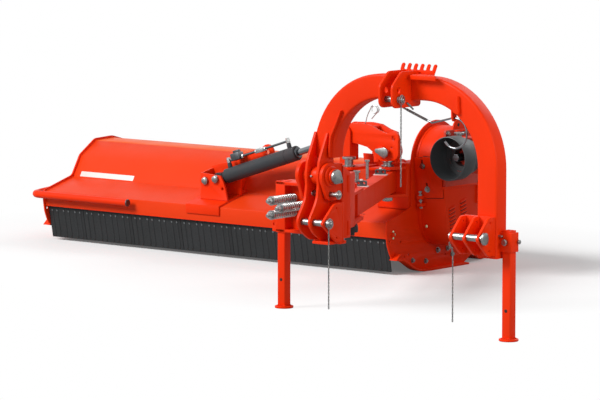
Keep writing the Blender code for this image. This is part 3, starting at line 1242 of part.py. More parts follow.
def build_headstock():
    arch = headstock_arch()
    left_hitch_plates(arch)
    right_hitch_plates(arch)
    top_hitch_plates(arch)
    hose_comb(arch)
    left_pin = left_hitch_pin(arch)
    right_hitch_pin(arch)
    top_pin = top_hitch_pin(arch)
    chain("left_pin_chain", [(2.5545, LOWER_PIN_Y, LOWER_PIN_Z - 0.0222)], left_pin)
    chain("top_pin_chain", [(2.908, TOP_PIN_Y, TOP_PIN_Z - 0.0207)], top_pin)
    chain("right_pin_chain", [(3.1535, -1.358, 0.383), (3.1535, -1.333, 0.353)], arch)
    pto_hook(arch)
    stand("right_stand", RIGHT_STAND, 0.436, arch)
    right_stand_lock_pin(arch)
    return arch


def build_linkage(arch):
    frame = float_frame(arch)
    float_pivot_pin(frame)
    float_lock_pin(frame)
    stand("left_stand", LEFT_STAND, 0.505, frame)
    breakaway_springs(frame)
    spring_bolt_set(frame)
    base = arm_base(frame)
    arm = front_arm(base)
    rear_arm(base)
    shift_cylinder(base)
    front_arm_outer_pin(arm)
    pipe_clamp("pipe_clamp_outer", 0.170, arm)
    pipe_clamp("pipe_clamp_inner", 0.640, arm)
    carrier = tilt_carrier(arm)
    rocker_pin(carrier)
    rocker = rocker_arm(carrier)
    hose_guide(rocker)
    tilt_link(rocker)
    return carrier


def build_deck(carrier):
    hood = hood_shell()
    bpy.context.view_layer.update()
    hood.parent = carrier
    hood.matrix_parent_inverse = carrier.matrix_world.inverted()
    left_end_plate(hood)
    right_end_plate(hood)
    cylinder_bracket(hood)
    tilt_hinge_bracket(hood)
    bumper_tube(hood)
    flaps(hood)
    rotor(hood)
    rear_roller(hood)
    belt_cover(hood)
    gearbox(hood)
    gearbox_input_shaft(hood)
    drive_pulley(hood)
    drive_belts(hood)
    pto_guard(hood)
    barrel = tilt_cylinder_barrel(hood)
    tilt_cylinder_rod(barrel)
    valve_line(barrel)


def centre_on_ground(root):
    """Move the whole part so that the origin is the middle of its box, on the ground."""
    bpy.context.view_layer.update()
    corners = [item.matrix_world @ vertex.co
               for item in bpy.data.collections[PART_COLLECTION].objects for vertex in item.data.vertices]
    low_x = min(corner.x for corner in corners)
    high_x = max(corner.x for corner in corners)
    low_y = min(corner.y for corner in corners)
    high_y = max(corner.y for corner in corners)
    low_z = min(corner.z for corner in corners)
    root.location -= Vector(((low_x + high_x) / 2, (low_y + high_y) / 2, low_z))
    bpy.context.view_layer.update()
    print(f"design frame origin moved by {-(low_x + high_x) / 2:.5f}, {-(low_y + high_y) / 2:.5f}, {-low_z:.5f}")


def main():
    clear_scene()
    collection = bpy.data.collections.new(PART_COLLECTION)
    bpy.context.scene.collection.children.link(collection)
    arch = build_headstock()
    carrier = build_linkage(arch)
    build_deck(carrier)
    centre_on_ground(arch)
    triangles = 0
    for item in collection.objects:
        item.data.calc_loop_triangles()
        triangles += len(item.data.loop_triangles)
    print(f"{len(collection.objects)} pieces, {triangles} triangles")


main()
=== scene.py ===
"""Side mulcher on its parking stands: surfaces, finishes, light and camera over the fixed frame."""
import math
import bmesh
import bpy
from mathutils import Matrix, Vector


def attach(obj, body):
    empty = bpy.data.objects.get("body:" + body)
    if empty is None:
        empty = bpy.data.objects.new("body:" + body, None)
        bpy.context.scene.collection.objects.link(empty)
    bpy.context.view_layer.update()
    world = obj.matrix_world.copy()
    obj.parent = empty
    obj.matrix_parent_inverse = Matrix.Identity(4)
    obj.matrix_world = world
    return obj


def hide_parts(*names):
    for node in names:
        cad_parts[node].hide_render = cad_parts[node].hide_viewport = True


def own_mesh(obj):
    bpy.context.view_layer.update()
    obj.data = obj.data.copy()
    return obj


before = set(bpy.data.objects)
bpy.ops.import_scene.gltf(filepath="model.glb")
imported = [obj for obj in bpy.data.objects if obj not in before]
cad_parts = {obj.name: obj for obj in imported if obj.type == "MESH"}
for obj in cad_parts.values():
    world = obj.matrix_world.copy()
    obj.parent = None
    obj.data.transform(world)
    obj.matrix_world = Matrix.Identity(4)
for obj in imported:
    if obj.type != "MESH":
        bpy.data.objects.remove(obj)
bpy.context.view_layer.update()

# Places below are measured from the deck's first flap seam on the ground: X along the deck, Y to the rear.
# A pair that stands for an axis along X holds its Y and Z; one that stands for an upright axis, its X and Y.
SEAM = Vector((-1.54325, 0.30100, 0.0))

DECK_LEFT = -0.235
DECK_RIGHT = 1.842
FLAP_AXIS = Vector((-0.0305, 0.186))
FLAP_FOOT = Vector((0.002, 0.014))
FLAP_EDGES = [-0.2231, 0.0, 0.3056, 0.6112, 0.9168, 1.2224, 1.528, 1.8266]
RIB_PAIR_PITCH = 0.0762
RIB_FROM_MIDDLE = 0.0154
ROTOR = (0.335, 0.230)
ROTOR_BORE = 0.0256
ROLLER = (0.70, 0.075)
DRIVE = (0.31, 0.533)
COVER_LOWER = (0.31, 0.245)
COVER_UPPER = (0.31, 0.487)
INPUT_X = 2.100
LOWER_PIN = (-1.360, 0.413)
LOWER_PIN_HOLE = 0.0146
TOP_PIN = (-1.348, 0.930)
FLOAT = (-1.285, 0.595)
FLOAT_HOLE = 0.0156
LOCK = (-1.285, 0.522)
ARCH_LEFT = 2.409
ARCH_RIGHT = 3.318
ARCH_DEPTH = -1.235
ARCH_SHOULDER = 0.670
ARCH_CORNER = 0.350
ARCH_MIDDLE_RADIUS = 0.302
LEFT_STAND = (2.090, -1.075)
RIGHT_STAND = (3.347, -1.225)
SPRINGS = ((2.137, 0.463), (2.184, 0.435), (2.137, 0.404))
ARM_ANGLE = math.radians(27.8)
ARM_ALONG = Vector((-math.sin(ARM_ANGLE), math.cos(ARM_ANGLE)))
OUTER_PIN = Vector((1.850, -0.060))
INNER_PIN = OUTER_PIN - 0.850 * ARM_ALONG
PIN_STEP = Vector((-0.130, -0.110))
SHIFT_CYLINDER_HEIGHT = 0.318
TILT_BASE = Vector((0.786, 0.060, 0.358))
TILT_TOP = Vector((1.657, 0.060, 0.638))
TILT_PORTS = (0.070, 0.440)
ROCKER = (1.872, 0.563)
CHAIN_LENGTH = 0.320


# Colours and materials

def linear(code):
    """Linear colour with alpha from an sRGB hex value."""
    channels = [int(code[start:start + 2], 16) / 255 for start in (1, 3, 5)]
    return tuple(c / 12.92 if c <= 0.04045 else ((c + 0.055) / 1.055) ** 2.4 for c in channels) + (1.0,)


def add(tree, kind, sockets=None, **settings):
    """Add a node with its settings; a socket's value may be another node's output."""
    item = tree.nodes.new(kind)
    for name, value in settings.items():
        setattr(item, name, value)
    for name, value in (sockets or {}).items():
        if isinstance(value, bpy.types.NodeSocket):
            tree.links.new(value, item.inputs[name])
        else:
            item.inputs[name].default_value = value
    return item


def blank(name):
    material = bpy.data.materials.new(name)
    material.use_nodes = True
    material.node_tree.nodes.clear()
    return material, material.node_tree


def close_up(tree, shader):
    add(tree, "ShaderNodeOutputMaterial", {"Surface": shader.outputs[0]})


def patches(tree, place, size, detail=3.0, roughness=0.5):
    """Cloudy pattern whose patches are about size metres across."""
    return add(tree, "ShaderNodeTexNoise", {"Vector": place, "Scale": 0.5 / size, "Detail": detail,
                                            "Roughness": roughness}).outputs["Fac"]


def spread(tree, value, low, high, from_low=0.3, from_high=0.7):
    return add(tree, "ShaderNodeMapRange", {"Value": value, "From Min": from_low, "From Max": from_high,
                                            "To Min": low, "To Max": high}).outputs["Result"]


def mixed(tree, factor, first, second):
    item = add(tree, "ShaderNodeMix", data_type="RGBA")
    for socket, value in ((0, factor), (6, first), (7, second)):
        if isinstance(value, bpy.types.NodeSocket):
            tree.links.new(value, item.inputs[socket])
        else:
            item.inputs[socket].default_value = value
    return item.outputs[2]


def surface_grain(tree, height, depth, strength=1.0):
    return add(tree, "ShaderNodeBump", {"Height": height, "Distance": depth, "Strength": strength}).outputs[0]


# Fine dust that dulls the coat a little in places.
DUST = "#A83A22"


def powder_coat(name, main, shade, rough=(0.36, 0.46), top=None):
    """Powder coat on steel: an even saturated skin with a soft gloss and a faint orange peel.

    The peel is about 3 mm on the real sheet and is drawn at 9 mm so that it shows. The top, if any, is a
    painted sheen on a flat top: a lighter second colour and the two heights between which the coat turns to
    it."""
    material, tree = blank(name)
    place = add(tree, "ShaderNodeTexCoord").outputs["Object"]
    colour = mixed(tree, spread(tree, patches(tree, place, 0.30), 0.0, 1.0), linear(main), linear(shade))
    # Painted sheen: between the given heights the coat turns to the lighter top colour.
    if top:
        height = add(tree, "ShaderNodeSeparateXYZ", {"Vector": place}).outputs["Z"]
        code, turns_from, turns_to = top
        colour = mixed(tree, spread(tree, height, 0.0, 1.0, turns_from, turns_to), colour, linear(code))
    dust = spread(tree, patches(tree, place, 0.045, 5.0, 0.6), 0.0, 0.06, 0.45, 0.85)
    colour = mixed(tree, dust, colour, linear(DUST))
    peel = patches(tree, place, 0.009, 1.0)
    shader = add(tree, "ShaderNodeBsdfPrincipled", {
        "Base Color": colour, "Metallic": 0.0, "IOR": 1.5, "Specular IOR Level": 0.12,
        "Roughness": spread(tree, patches(tree, place, 0.06, 4.0), *rough),
        "Normal": surface_grain(tree, peel, 0.0004, 0.35)})
    close_up(tree, shader)
    return material


def plated(name, main, tint, rough=(0.22, 0.40), grain=0.004, depth=0.0001):
    """Plated or bare metal: cloudy tint, uneven gloss and fine handling marks."""
    material, tree = blank(name)
    place = add(tree, "ShaderNodeTexCoord").outputs["Object"]
    colour = mixed(tree, spread(tree, patches(tree, place, 0.02), 0.0, 1.0), linear(main), linear(tint))
    marks = patches(tree, place, grain, 6.0, 0.7)
    shader = add(tree, "ShaderNodeBsdfPrincipled", {
        "Base Color": colour, "Metallic": 1.0,
        "Roughness": spread(tree, marks, *rough),
        "Normal": surface_grain(tree, marks, depth, 0.5)})
    close_up(tree, shader)
    return material


def chromed(name, along):
    """Hard chrome on a ground bar: mirror bright, with hair-fine marks along the stroke."""
    material, tree = blank(name)
    place = add(tree, "ShaderNodeTexCoord").outputs["Object"]
    squeezed = add(tree, "ShaderNodeMapping", {"Vector": place, "Scale": along}).outputs[0]
    marks = patches(tree, squeezed, 0.003, 3.0)
    shader = add(tree, "ShaderNodeBsdfPrincipled", {
        "Base Color": mixed(tree, spread(tree, patches(tree, place, 0.05), 0.0, 1.0), linear("#8F9194"),
                            linear("#7C7F83")),
        "Metallic": 1.0, "Roughness": spread(tree, marks, 0.06, 0.20)})
    close_up(tree, shader)
    return material


def dull_coat(name, main, shade, rough, grain, depth):
    """Matt skin of a moulded, cast or rubber piece: fine grain and uneven gloss."""
    material, tree = blank(name)
    place = add(tree, "ShaderNodeTexCoord").outputs["Object"]
    colour = mixed(tree, spread(tree, patches(tree, place, 0.07, 4.0), 0.0, 1.0), linear(main), linear(shade))
    pores = patches(tree, place, grain, 4.0, 0.6)
    shader = add(tree, "ShaderNodeBsdfPrincipled", {
        "Base Color": colour, "IOR": 1.5, "Roughness": spread(tree, pores, *rough),
        "Normal": surface_grain(tree, pores, depth, 0.6)})
    close_up(tree, shader)
    return material


# Orange-red polyester powder coat on sheet and tube: even, saturated, softly glossy.
COAT = powder_coat("powder_coat_red", "#F03504", "#E83104")
# The same coat on the hood, with a painted sheen: its flat top is painted lighter and more orange than its
# slopes, standing for the bright surround it reflects.
HOOD_COAT = powder_coat("powder_coat_hood_painted_sheen", "#EA3F12", "#E33B10", top=("#F05A0E", 0.4500, 0.4532))
# Dark grey cylinder enamel: sprayed, smooth, half matt.
ENAMEL = powder_coat("cylinder_enamel", "#3E4144", "#36393B", (0.34, 0.44))
# Hard chrome of the piston rods, ground and polished; the drive shaft's hook has the same bright skin.
CHROME = chromed("hard_chrome", (0.05, 1.0, 1.0))
# Bright zinc plate on pins, bolts and rings: silvery with faint blue and yellow clouds.
ZINC = plated("bright_zinc", "#A3A29D", "#8A8D90")
# Yellow passivated zinc of the flap rod's ends and two plugs: pale, with a greenish tint.
PASSIVATED = plated("yellow_zinc", "#DCDCB0", "#C2C6A4")
# Spring wire, cold drawn and zinc plated: the brightest metal here, with tight highlights.
SPRING_WIRE = plated("spring_wire", "#CFCFCB", "#B0B2B4", (0.20, 0.34), 0.002)
# Plain turned steel with a trace of oil: rotor, pulley, input shaft and the valve line.
STEEL = plated("turned_steel", "#66686B", "#54575A", (0.28, 0.48), 0.003)
# Galvanised chain wire: duller and greyer than the plated pins.
CHAIN_STEEL = plated("galvanised_chain", "#8E8D89", "#66686A", (0.30, 0.50), 0.002)
# Sand cast gearbox under the same coat: grainy and duller.
CASTING = dull_coat("painted_casting", "#D8330F", "#B92A0C", (0.42, 0.62), 0.006, 0.0009)
# Moulded polyethylene guard, charcoal with a fine grain.
GUARD = dull_coat("moulded_polyethylene", "#3C3F41", "#333638", (0.42, 0.54), 0.003, 0.0002)
# Reinforced rubber of the flaps: charcoal, matt, slightly dusty.
RUBBER = dull_coat("flap_rubber", "#212325", "#1A1C1D", (0.60, 0.80), 0.004, 0.0004)
# Glass-filled nylon of the pipe clamps: dark grey, finely grained.
NYLON = dull_coat("clamp_nylon", "#45484A", "#3B3E40", (0.42, 0.55), 0.002, 0.0002)
# Moulded pegs that hold the flaps' ribs: mid grey, a little glossier than the rubber.
PEG = dull_coat("rivet_peg", "#6C7072", "#5C6062", (0.45, 0.60), 0.003, 0.0001)
# Painted shade: dark sheets and domes that stand for the shade inside holes, slots and gaps, and for thin
# shadows beside plates and louvres.
SHADE = dull_coat("slot_shade", "#1B0906", "#140605", (0.7, 0.9), 0.004, 0.0002)
# Pale reflective tape, blank.
TAPE = dull_coat("pale_tape", "#F4E6E2", "#EAD6D0", (0.30, 0.42), 0.004, 0.0001)
# Pale sheet plates under the pipe clamps: smooth and nearly white.
CLAMP_SHEET = dull_coat("clamp_sheet", "#F4E6E2", "#EAD6D0", (0.30, 0.42), 0.004, 0.0001)
# Weld seam under the coat: rippled and a shade darker.
WELD = powder_coat("coated_weld", "#E2330D", "#D02C0A", (0.34, 0.46))


# Shapes: each returns a mesh at the places measured from the seam

def mesh_of(build):
    bm = bmesh.new()
    build(bm)
    mesh = bpy.data.meshes.new("shape")
    bm.to_mesh(mesh)
    bm.free()
    return mesh


def evaluated(item):
    """Plain mesh of an object as its modifiers leave it; the object goes."""
    bpy.context.view_layer.update()
    view = item.evaluated_get(bpy.context.evaluated_depsgraph_get())
    mesh = bpy.data.meshes.new_from_object(view)
    mesh.transform(item.matrix_world)
    bpy.data.objects.remove(item, do_unlink=True)
    return mesh


def linked(name, data):
    item = bpy.data.objects.new(name, data)
    bpy.context.scene.collection.objects.link(item)
    return item


def area_of(points):
    return sum(a[0] * b[1] - b[0] * a[1] for a, b in zip(points, points[1:] + points[:1])) / 2


PLANES = {"x": Matrix(((0, 0, 1), (1, 0, 0), (0, 1, 0))).to_4x4(),
          "y": Matrix(((1, 0, 0), (0, 0, -1), (0, 1, 0))).to_4x4(),
          "z": Matrix.Identity(4)}


def arc(centre, radius, start, end, steps=10):
    """Points on a round stretch, angles in degrees."""
    return [(centre[0] + radius * math.cos(math.radians(start + (end - start) * k / steps)),
             centre[1] + radius * math.sin(math.radians(start + (end - start) * k / steps)))
            for k in range(steps + 1)]


def circle(centre, radius, sides=24):
    return arc(centre, radius, 0, 360 - 360 / sides, sides - 1)


def rounded(points, radius, steps=4):
    """Outline with its corners rounded, up to the radius given."""
    result = []
    for index, point in enumerate(points):
        here = Vector(point)
        back = Vector(points[index - 1]) - here
        on = Vector(points[(index + 1) % len(points)]) - here
        reach = min(radius, back.length * 0.45, on.length * 0.45)
        first = here + back.normalized() * reach
        last = here + on.normalized() * reach
        for step in range(steps + 1):
            t = step / steps
            result.append(tuple((1 - t) ** 2 * first + 2 * t * (1 - t) * here + t ** 2 * last))
    return result


def oblong(low_first, high_first, low_second, high_second, radius=0.0):
    corners = [(low_first, low_second), (high_first, low_second), (high_first, high_second),
               (low_first, high_second)]
    return rounded(corners, radius) if radius else corners


def slot_outline(centre, half_length, radius, turn=0.0):
    """Long hole about a centre, turned by an angle in degrees."""
    points = arc((half_length, 0), radius, -90, 90, 6) + arc((-half_length, 0), radius, 90, 270, 6)
    c, s = math.cos(math.radians(turn)), math.sin(math.radians(turn))
    return [(centre[0] + x * c - y * s, centre[1] + x * s + y * c) for x, y in points]


def slab(normal, low, high, outline, holes=(), edge=0.0012):
    """Plate across one axis with rounded edges."""
    edge = min(edge, (high - low) * 0.45)
    curve = bpy.data.curves.new("outline", "CURVE")
    curve.dimensions = "2D"
    curve.fill_mode = "BOTH"
    curve.extrude = (high - low) / 2 - edge
    curve.bevel_depth = edge
    curve.bevel_resolution = 1
    curve.offset = -edge
    for number, points in enumerate((outline, *holes)):
        anticlockwise = area_of(list(points)) > 0
        ordered = points if anticlockwise == (number == 0) else points[::-1]
        spline = curve.splines.new("POLY")
        spline.points.add(len(ordered) - 1)
        for point, (first, second) in zip(spline.points, ordered):
            point.co = (first, second, 0, 1)
        spline.use_cyclic_u = True
    item = linked("outline", curve)
    middle = (low + high) / 2
    shift = {"x": (middle, 0, 0), "y": (0, middle, 0), "z": (0, 0, middle)}[normal]
    item.matrix_world = Matrix.Translation(shift) @ PLANES[normal]
    return evaluated(item)


def bar(low, high, edge=0.0015):
    """Box with rounded edges."""
    low, high = Vector(low), Vector(high)

    def build(bm):
        bmesh.ops.create_cube(bm, size=1.0)
        bmesh.ops.scale(bm, vec=high - low, verts=bm.verts)
        bmesh.ops.translate(bm, vec=(low + high) / 2, verts=bm.verts)
        width = min(edge, min(high - low) * 0.45)
        bmesh.ops.bevel(bm, geom=bm.edges[:], offset=width, segments=2, profile=0.5, affect="EDGES")

    return mesh_of(build)


def turned(start, towards, profile, sides=32):
    """Lathe shape: profile pairs are distance along the axis and radius; a zero radius closes an end."""
    start = Vector(start)
    turn = Vector(towards).to_track_quat("Z", "Y").to_matrix().to_4x4()

    def build(bm):
        rings = []
        for distance, radius in profile:
            if radius <= 0:
                rings.append([bm.verts.new((0, 0, distance))])
            else:
                rings.append([bm.verts.new((radius * math.cos(2 * math.pi * k / sides),
                                            radius * math.sin(2 * math.pi * k / sides), distance))
                              for k in range(sides)])
        for lower, upper in zip(rings, rings[1:]):
            for k in range(sides):
                a, b = lower[k % len(lower)], lower[(k + 1) % len(lower)]
                c, d = upper[(k + 1) % len(upper)], upper[k % len(upper)]
                corners = []
                for vertex in (a, b, c, d):
                    if vertex not in corners:
                        corners.append(vertex)
                if len(corners) > 2:
                    bm.faces.new(corners)
        if len(rings[0]) > 1:
            bm.faces.new(rings[0][::-1])
        if len(rings[-1]) > 1:
            bm.faces.new(rings[-1])
        bmesh.ops.recalc_face_normals(bm, faces=bm.faces)

    mesh = mesh_of(build)
    mesh.transform(Matrix.Translation(start) @ turn)
    return mesh


def pin(start, end, radius, chamfer=0.0015, sides=28):
    length = (Vector(end) - Vector(start)).length
    profile = [(0, radius - chamfer), (chamfer, radius), (length - chamfer, radius),
               (length, radius - chamfer)]
    return turned(start, Vector(end) - Vector(start), profile, sides)


def ring(start, end, outer, inner, chamfer=0.001, sides=32):
    """Turned ring or bush with an open bore."""
    length = (Vector(end) - Vector(start)).length
    c = chamfer
    loop = [(0, inner), (0, outer - c), (c, outer), (length - c, outer), (length, outer - c), (length, inner),
            (0, inner)]
    turn = (Vector(end) - Vector(start)).to_track_quat("Z", "Y").to_matrix().to_4x4()

    def build(bm):
        rows = [[bm.verts.new((r * math.cos(2 * math.pi * k / sides), r * math.sin(2 * math.pi * k / sides),
                               h)) for k in range(sides)] for h, r in loop[:-1]]
        for index in range(len(rows)):
            lower, upper = rows[index], rows[(index + 1) % len(rows)]
            for k in range(sides):
                bm.faces.new((lower[k], lower[(k + 1) % sides], upper[(k + 1) % sides], upper[k]))
        bmesh.ops.recalc_face_normals(bm, faces=bm.faces)

    mesh = mesh_of(build)
    mesh.transform(Matrix.Translation(start) @ turn)
    return mesh


def hexagon(start, towards, across, height):
    """Nut or bolt head with its corners broken."""
    radius = across / 2 / math.cos(math.radians(30))
    return turned(start, towards, [(0, radius), (height * 0.8, radius), (height, radius * 0.88)], 6)


def smooth_line(points, steps=8):
    """Points on a smooth curve through the ones given."""
    points = [Vector(p) for p in points]
    padded = [2 * points[0] - points[1], *points, 2 * points[-1] - points[-2]]
    result = []
    for a, b, c, d in zip(padded, padded[1:], padded[2:], padded[3:]):
        for step in range(steps):
            t = step / steps
            result.append(0.5 * (2 * b + (c - a) * t + (2 * a - 5 * b + 4 * c - d) * t ** 2
                                 + (3 * b - a - 3 * c + d) * t ** 3))
    result.append(points[-1])
    return result


def tube(points, radius, resolution=4, cyclic=False):
    """Round bar or pipe along points."""
    curve = bpy.data.curves.new("run", "CURVE")
    curve.dimensions = "3D"
    curve.bevel_depth = radius
    curve.bevel_resolution = resolution
    curve.use_fill_caps = not cyclic
    spline = curve.splines.new("POLY")
    spline.points.add(len(points) - 1)
    for point, place in zip(spline.points, points):
        point.co = (*place, 1)
    spline.use_cyclic_u = cyclic
    return evaluated(linked("run", curve))


def square_tube(centre, low, high, width, wall, corner=0.005):
    half = width / 2
    x, y = centre
    outer = oblong(x - half, x + half, y - half, y + half, corner)
    inner = half - wall
    hole = oblong(x - inner, x + inner, y - inner, y + inner, corner * 0.5)
    return slab("z", low, high, outer, (hole,), 0.0006)


def dress(name, shapes, material, body, node=None, slot=None, angle=32, placed=False):
    """Join shapes into one piece in its place, give it its finish and let it ride on its body."""
    bm = bmesh.new()
    for shape in shapes:
        bm.from_mesh(shape)
        bpy.data.meshes.remove(shape)
    bmesh.ops.remove_doubles(bm, verts=bm.verts, dist=0.000002)
    mesh = bpy.data.meshes.new(name)
    bm.to_mesh(mesh)
    bm.free()
    if not placed:
        mesh.transform(Matrix.Translation(SEAM))
    mesh.materials.clear()
    mesh.materials.append(material)
    for face in mesh.polygons:
        face.material_index = 0
    mesh.shade_smooth()
    mesh.set_sharp_from_angle(angle=math.radians(angle))
    piece = linked(name, mesh)
    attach(piece, body)
    if node:
        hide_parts(*([node] if isinstance(node, str) else node))
    if slot or node:
        slot or (node if isinstance(node, str) else node[0])
    return piece


def soften(node, material, body, width=0.0014, segments=2, cuts=()):
    """Copy of a frame node with its sharp edges broken, which stands for it."""
    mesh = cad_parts[node].data.copy()
    bm = bmesh.new()
    bm.from_mesh(mesh)
    bmesh.ops.remove_doubles(bm, verts=bm.verts, dist=0.00001)
    bmesh.ops.dissolve_limit(bm, angle_limit=math.radians(0.6), verts=bm.verts, edges=bm.edges)
    bm.to_mesh(mesh)
    bm.free()
    item = linked(node, mesh)
    cutters = [linked("cutter", bar(low, high)) for low, high in cuts]
    for cutter in cutters:
        cutter.location = SEAM
        trim = item.modifiers.new("trim", "BOOLEAN")
        trim.operation = "DIFFERENCE"
        trim.object = cutter
    bevel = item.modifiers.new("edges", "BEVEL")
    bevel.width = width
    bevel.segments = segments
    bevel.limit_method = "ANGLE"
    bevel.angle_limit = math.radians(40)
    bevel.use_clamp_overlap = True
    skin = evaluated(item)
    for cutter in cutters:
        bpy.data.objects.remove(cutter, do_unlink=True)
    return dress(f"{node}_skin", [skin], material, body, node, angle=35, placed=True)


# Repeated details, made by geometry nodes

def new_tree(name, sockets):
    tree = bpy.data.node_groups.new(name, "GeometryNodeTree")
    tree.interface.new_socket("Geometry", in_out="INPUT", socket_type="NodeSocketGeometry")
    for label, kind, value in sockets:
        socket = tree.interface.new_socket(label, in_out="INPUT", socket_type=kind)
        if value is not None:
            socket.default_value = value
    tree.interface.new_socket("Geometry", in_out="OUTPUT", socket_type="NodeSocketGeometry")
    return tree


def end_tree(tree, geometry, material):
    solid = add(tree, "GeometryNodeRealizeInstances", {"Geometry": geometry})
    painted = add(tree, "GeometryNodeSetMaterial", {"Geometry": solid.outputs[0], "Material": material})
    add(tree, "NodeGroupOutput", {"Geometry": painted.outputs[0]})


def facing_instances(tree, points, instance):
    """Instances on points, turned to the stored direction and scaled by the stored size."""
    facing = add(tree, "GeometryNodeInputNamedAttribute", {"Name": "facing"}, data_type="FLOAT_VECTOR")
    size = add(tree, "GeometryNodeInputNamedAttribute", {"Name": "size"}, data_type="FLOAT_VECTOR")
    turn = add(tree, "FunctionNodeAlignRotationToVector", {"Vector": facing.outputs[0]}, axis="Z")
    return add(tree, "GeometryNodeInstanceOnPoints", {"Points": points, "Instance": instance,
                                                      "Rotation": turn.outputs[0],
                                                      "Scale": size.outputs[0]}).outputs[0]


def fastener_tree():
    """Hexagon head on a washer, one at each point."""
    tree = new_tree("fasteners", [("Head", "NodeSocketFloat", 0.0085), ("Height", "NodeSocketFloat", 0.007),
                                  ("Washer", "NodeSocketFloat", 0.012),
                                  ("Finish", "NodeSocketMaterial", None)])
    given = add(tree, "NodeGroupInput").outputs
    half = add(tree, "ShaderNodeMath", {0: given["Height"], 1: 0.5}, operation="MULTIPLY").outputs[0]
    lift = add(tree, "ShaderNodeMath", {0: half, 1: 0.0022}, operation="ADD").outputs[0]
    head = add(tree, "GeometryNodeMeshCylinder", {"Vertices": 6, "Radius": given["Head"],
                                                  "Depth": given["Height"]})
    crown_radius = add(tree, "ShaderNodeMath", {0: given["Head"], 1: 0.84}, operation="MULTIPLY").outputs[0]
    crown = add(tree, "GeometryNodeMeshCylinder", {"Vertices": 16, "Radius": crown_radius, "Depth": 0.0022})
    top = add(tree, "ShaderNodeMath", {0: given["Height"], 1: 0.0024}, operation="ADD").outputs[0]
    washer = add(tree, "GeometryNodeMeshCylinder", {"Vertices": 18, "Radius": given["Washer"],
                                                    "Depth": 0.0024})
    joined = add(tree, "GeometryNodeJoinGeometry")
    for shape, height in ((head, lift), (crown, top), (washer, 0.0012)):
        offset = add(tree, "ShaderNodeCombineXYZ", {"Z": height})
        moved = add(tree, "GeometryNodeTransform",
                    {"Geometry": shape.outputs[0], "Translation": offset.outputs[0]})
        tree.links.new(moved.outputs[0], joined.inputs[0])
    end_tree(tree, facing_instances(tree, given["Geometry"], joined.outputs[0]), given["Finish"])
    return tree


def dome_tree():
    """Round rivet or plug head, one at each point."""
    tree = new_tree("domes", [("Radius", "NodeSocketFloat", 0.005), ("Rise", "NodeSocketFloat", 0.5),
                              ("Finish", "NodeSocketMaterial", None)])
    given = add(tree, "NodeGroupInput").outputs
    ball = add(tree, "GeometryNodeMeshUVSphere", {"Segments": 12, "Rings": 6, "Radius": given["Radius"]})
    scale = add(tree, "ShaderNodeCombineXYZ", {"X": 1.0, "Y": 1.0, "Z": given["Rise"]})
    flat = add(tree, "GeometryNodeTransform", {"Geometry": ball.outputs[0], "Scale": scale.outputs[0]})
    end_tree(tree, facing_instances(tree, given["Geometry"], flat.outputs[0]), given["Finish"])
    return tree


def weld_tree():
    """Rippled weld bead along a line."""
    tree = new_tree("weld_bead", [("Width", "NodeSocketFloat", 0.004), ("Pitch", "NodeSocketFloat", 0.004),
                                  ("Finish", "NodeSocketMaterial", None)])
    given = add(tree, "NodeGroupInput").outputs
    line = add(tree, "GeometryNodeMeshToCurve", {"Mesh": given["Geometry"]})
    points = add(tree, "GeometryNodeCurveToPoints", {"Curve": line.outputs[0], "Length": given["Pitch"]},
                 mode="LENGTH")
    ball = add(tree, "GeometryNodeMeshIcoSphere", {"Radius": given["Width"], "Subdivisions": 2})
    flat = add(tree, "GeometryNodeTransform", {"Geometry": ball.outputs[0], "Scale": (1.0, 1.0, 0.75)})
    laid = add(tree, "GeometryNodeInstanceOnPoints", {"Points": points.outputs["Points"],
                                                      "Instance": flat.outputs[0],
                                                      "Rotation": points.outputs["Rotation"]})
    end_tree(tree, laid.outputs[0], given["Finish"])
    return tree


def chain_tree():
    """Links along a line, each turned a quarter from the last."""
    tree = new_tree("chain_links", [("Pitch", "NodeSocketFloat", 0.011), ("Wire", "NodeSocketFloat", 0.0012),
                                    ("Half Width", "NodeSocketFloat", 0.0023),
                                    ("Finish", "NodeSocketMaterial", None)])
    given = add(tree, "NodeGroupInput").outputs
    line = add(tree, "GeometryNodeMeshToCurve", {"Mesh": given["Geometry"]})
    points = add(tree, "GeometryNodeCurveToPoints", {"Curve": line.outputs[0], "Length": given["Pitch"]},
                 mode="LENGTH")
    loop = add(tree, "GeometryNodeCurvePrimitiveCircle", {"Resolution": 14, "Radius": given["Half Width"]})
    half = add(tree, "ShaderNodeMath", {0: given["Pitch"], 1: 0.30}, operation="MULTIPLY").outputs[0]
    place = add(tree, "GeometryNodeInputPosition").outputs[0]
    side = add(tree, "ShaderNodeSeparateXYZ", {"Vector": place}).outputs["Y"]
    sign = add(tree, "ShaderNodeMath", {0: side}, operation="SIGN").outputs[0]
    reach = add(tree, "ShaderNodeMath", {0: sign, 1: half}, operation="MULTIPLY").outputs[0]
    stretch = add(tree, "ShaderNodeCombineXYZ", {"Y": reach}).outputs[0]
    long_loop = add(tree, "GeometryNodeSetPosition", {"Geometry": loop.outputs[0], "Offset": stretch})
    wire = add(tree, "GeometryNodeCurvePrimitiveCircle", {"Resolution": 8, "Radius": given["Wire"]})
    link = add(tree, "GeometryNodeCurveToMesh",
               {"Curve": long_loop.outputs[0], "Profile Curve": wire.outputs[0]})
    upright = add(tree, "GeometryNodeTransform",
                  {"Geometry": link.outputs[0], "Rotation": (math.radians(90), 0, 0)})
    number = add(tree, "GeometryNodeInputIndex").outputs[0]
    quarter = add(tree, "ShaderNodeMath", {0: number, 1: math.radians(90)}, operation="MULTIPLY").outputs[0]
    turn = add(tree, "ShaderNodeCombineXYZ", {"Z": quarter}).outputs[0]
    laid = add(tree, "GeometryNodeInstanceOnPoints", {
        "Points": points.outputs["Points"], "Instance": upright.outputs[0], "Rotation": turn})
    end_tree(tree, laid.outputs[0], given["Finish"])
    return tree


TREES = {"fasteners": fastener_tree(), "domes": dome_tree(), "welds": weld_tree(),
         "links": chain_tree()}


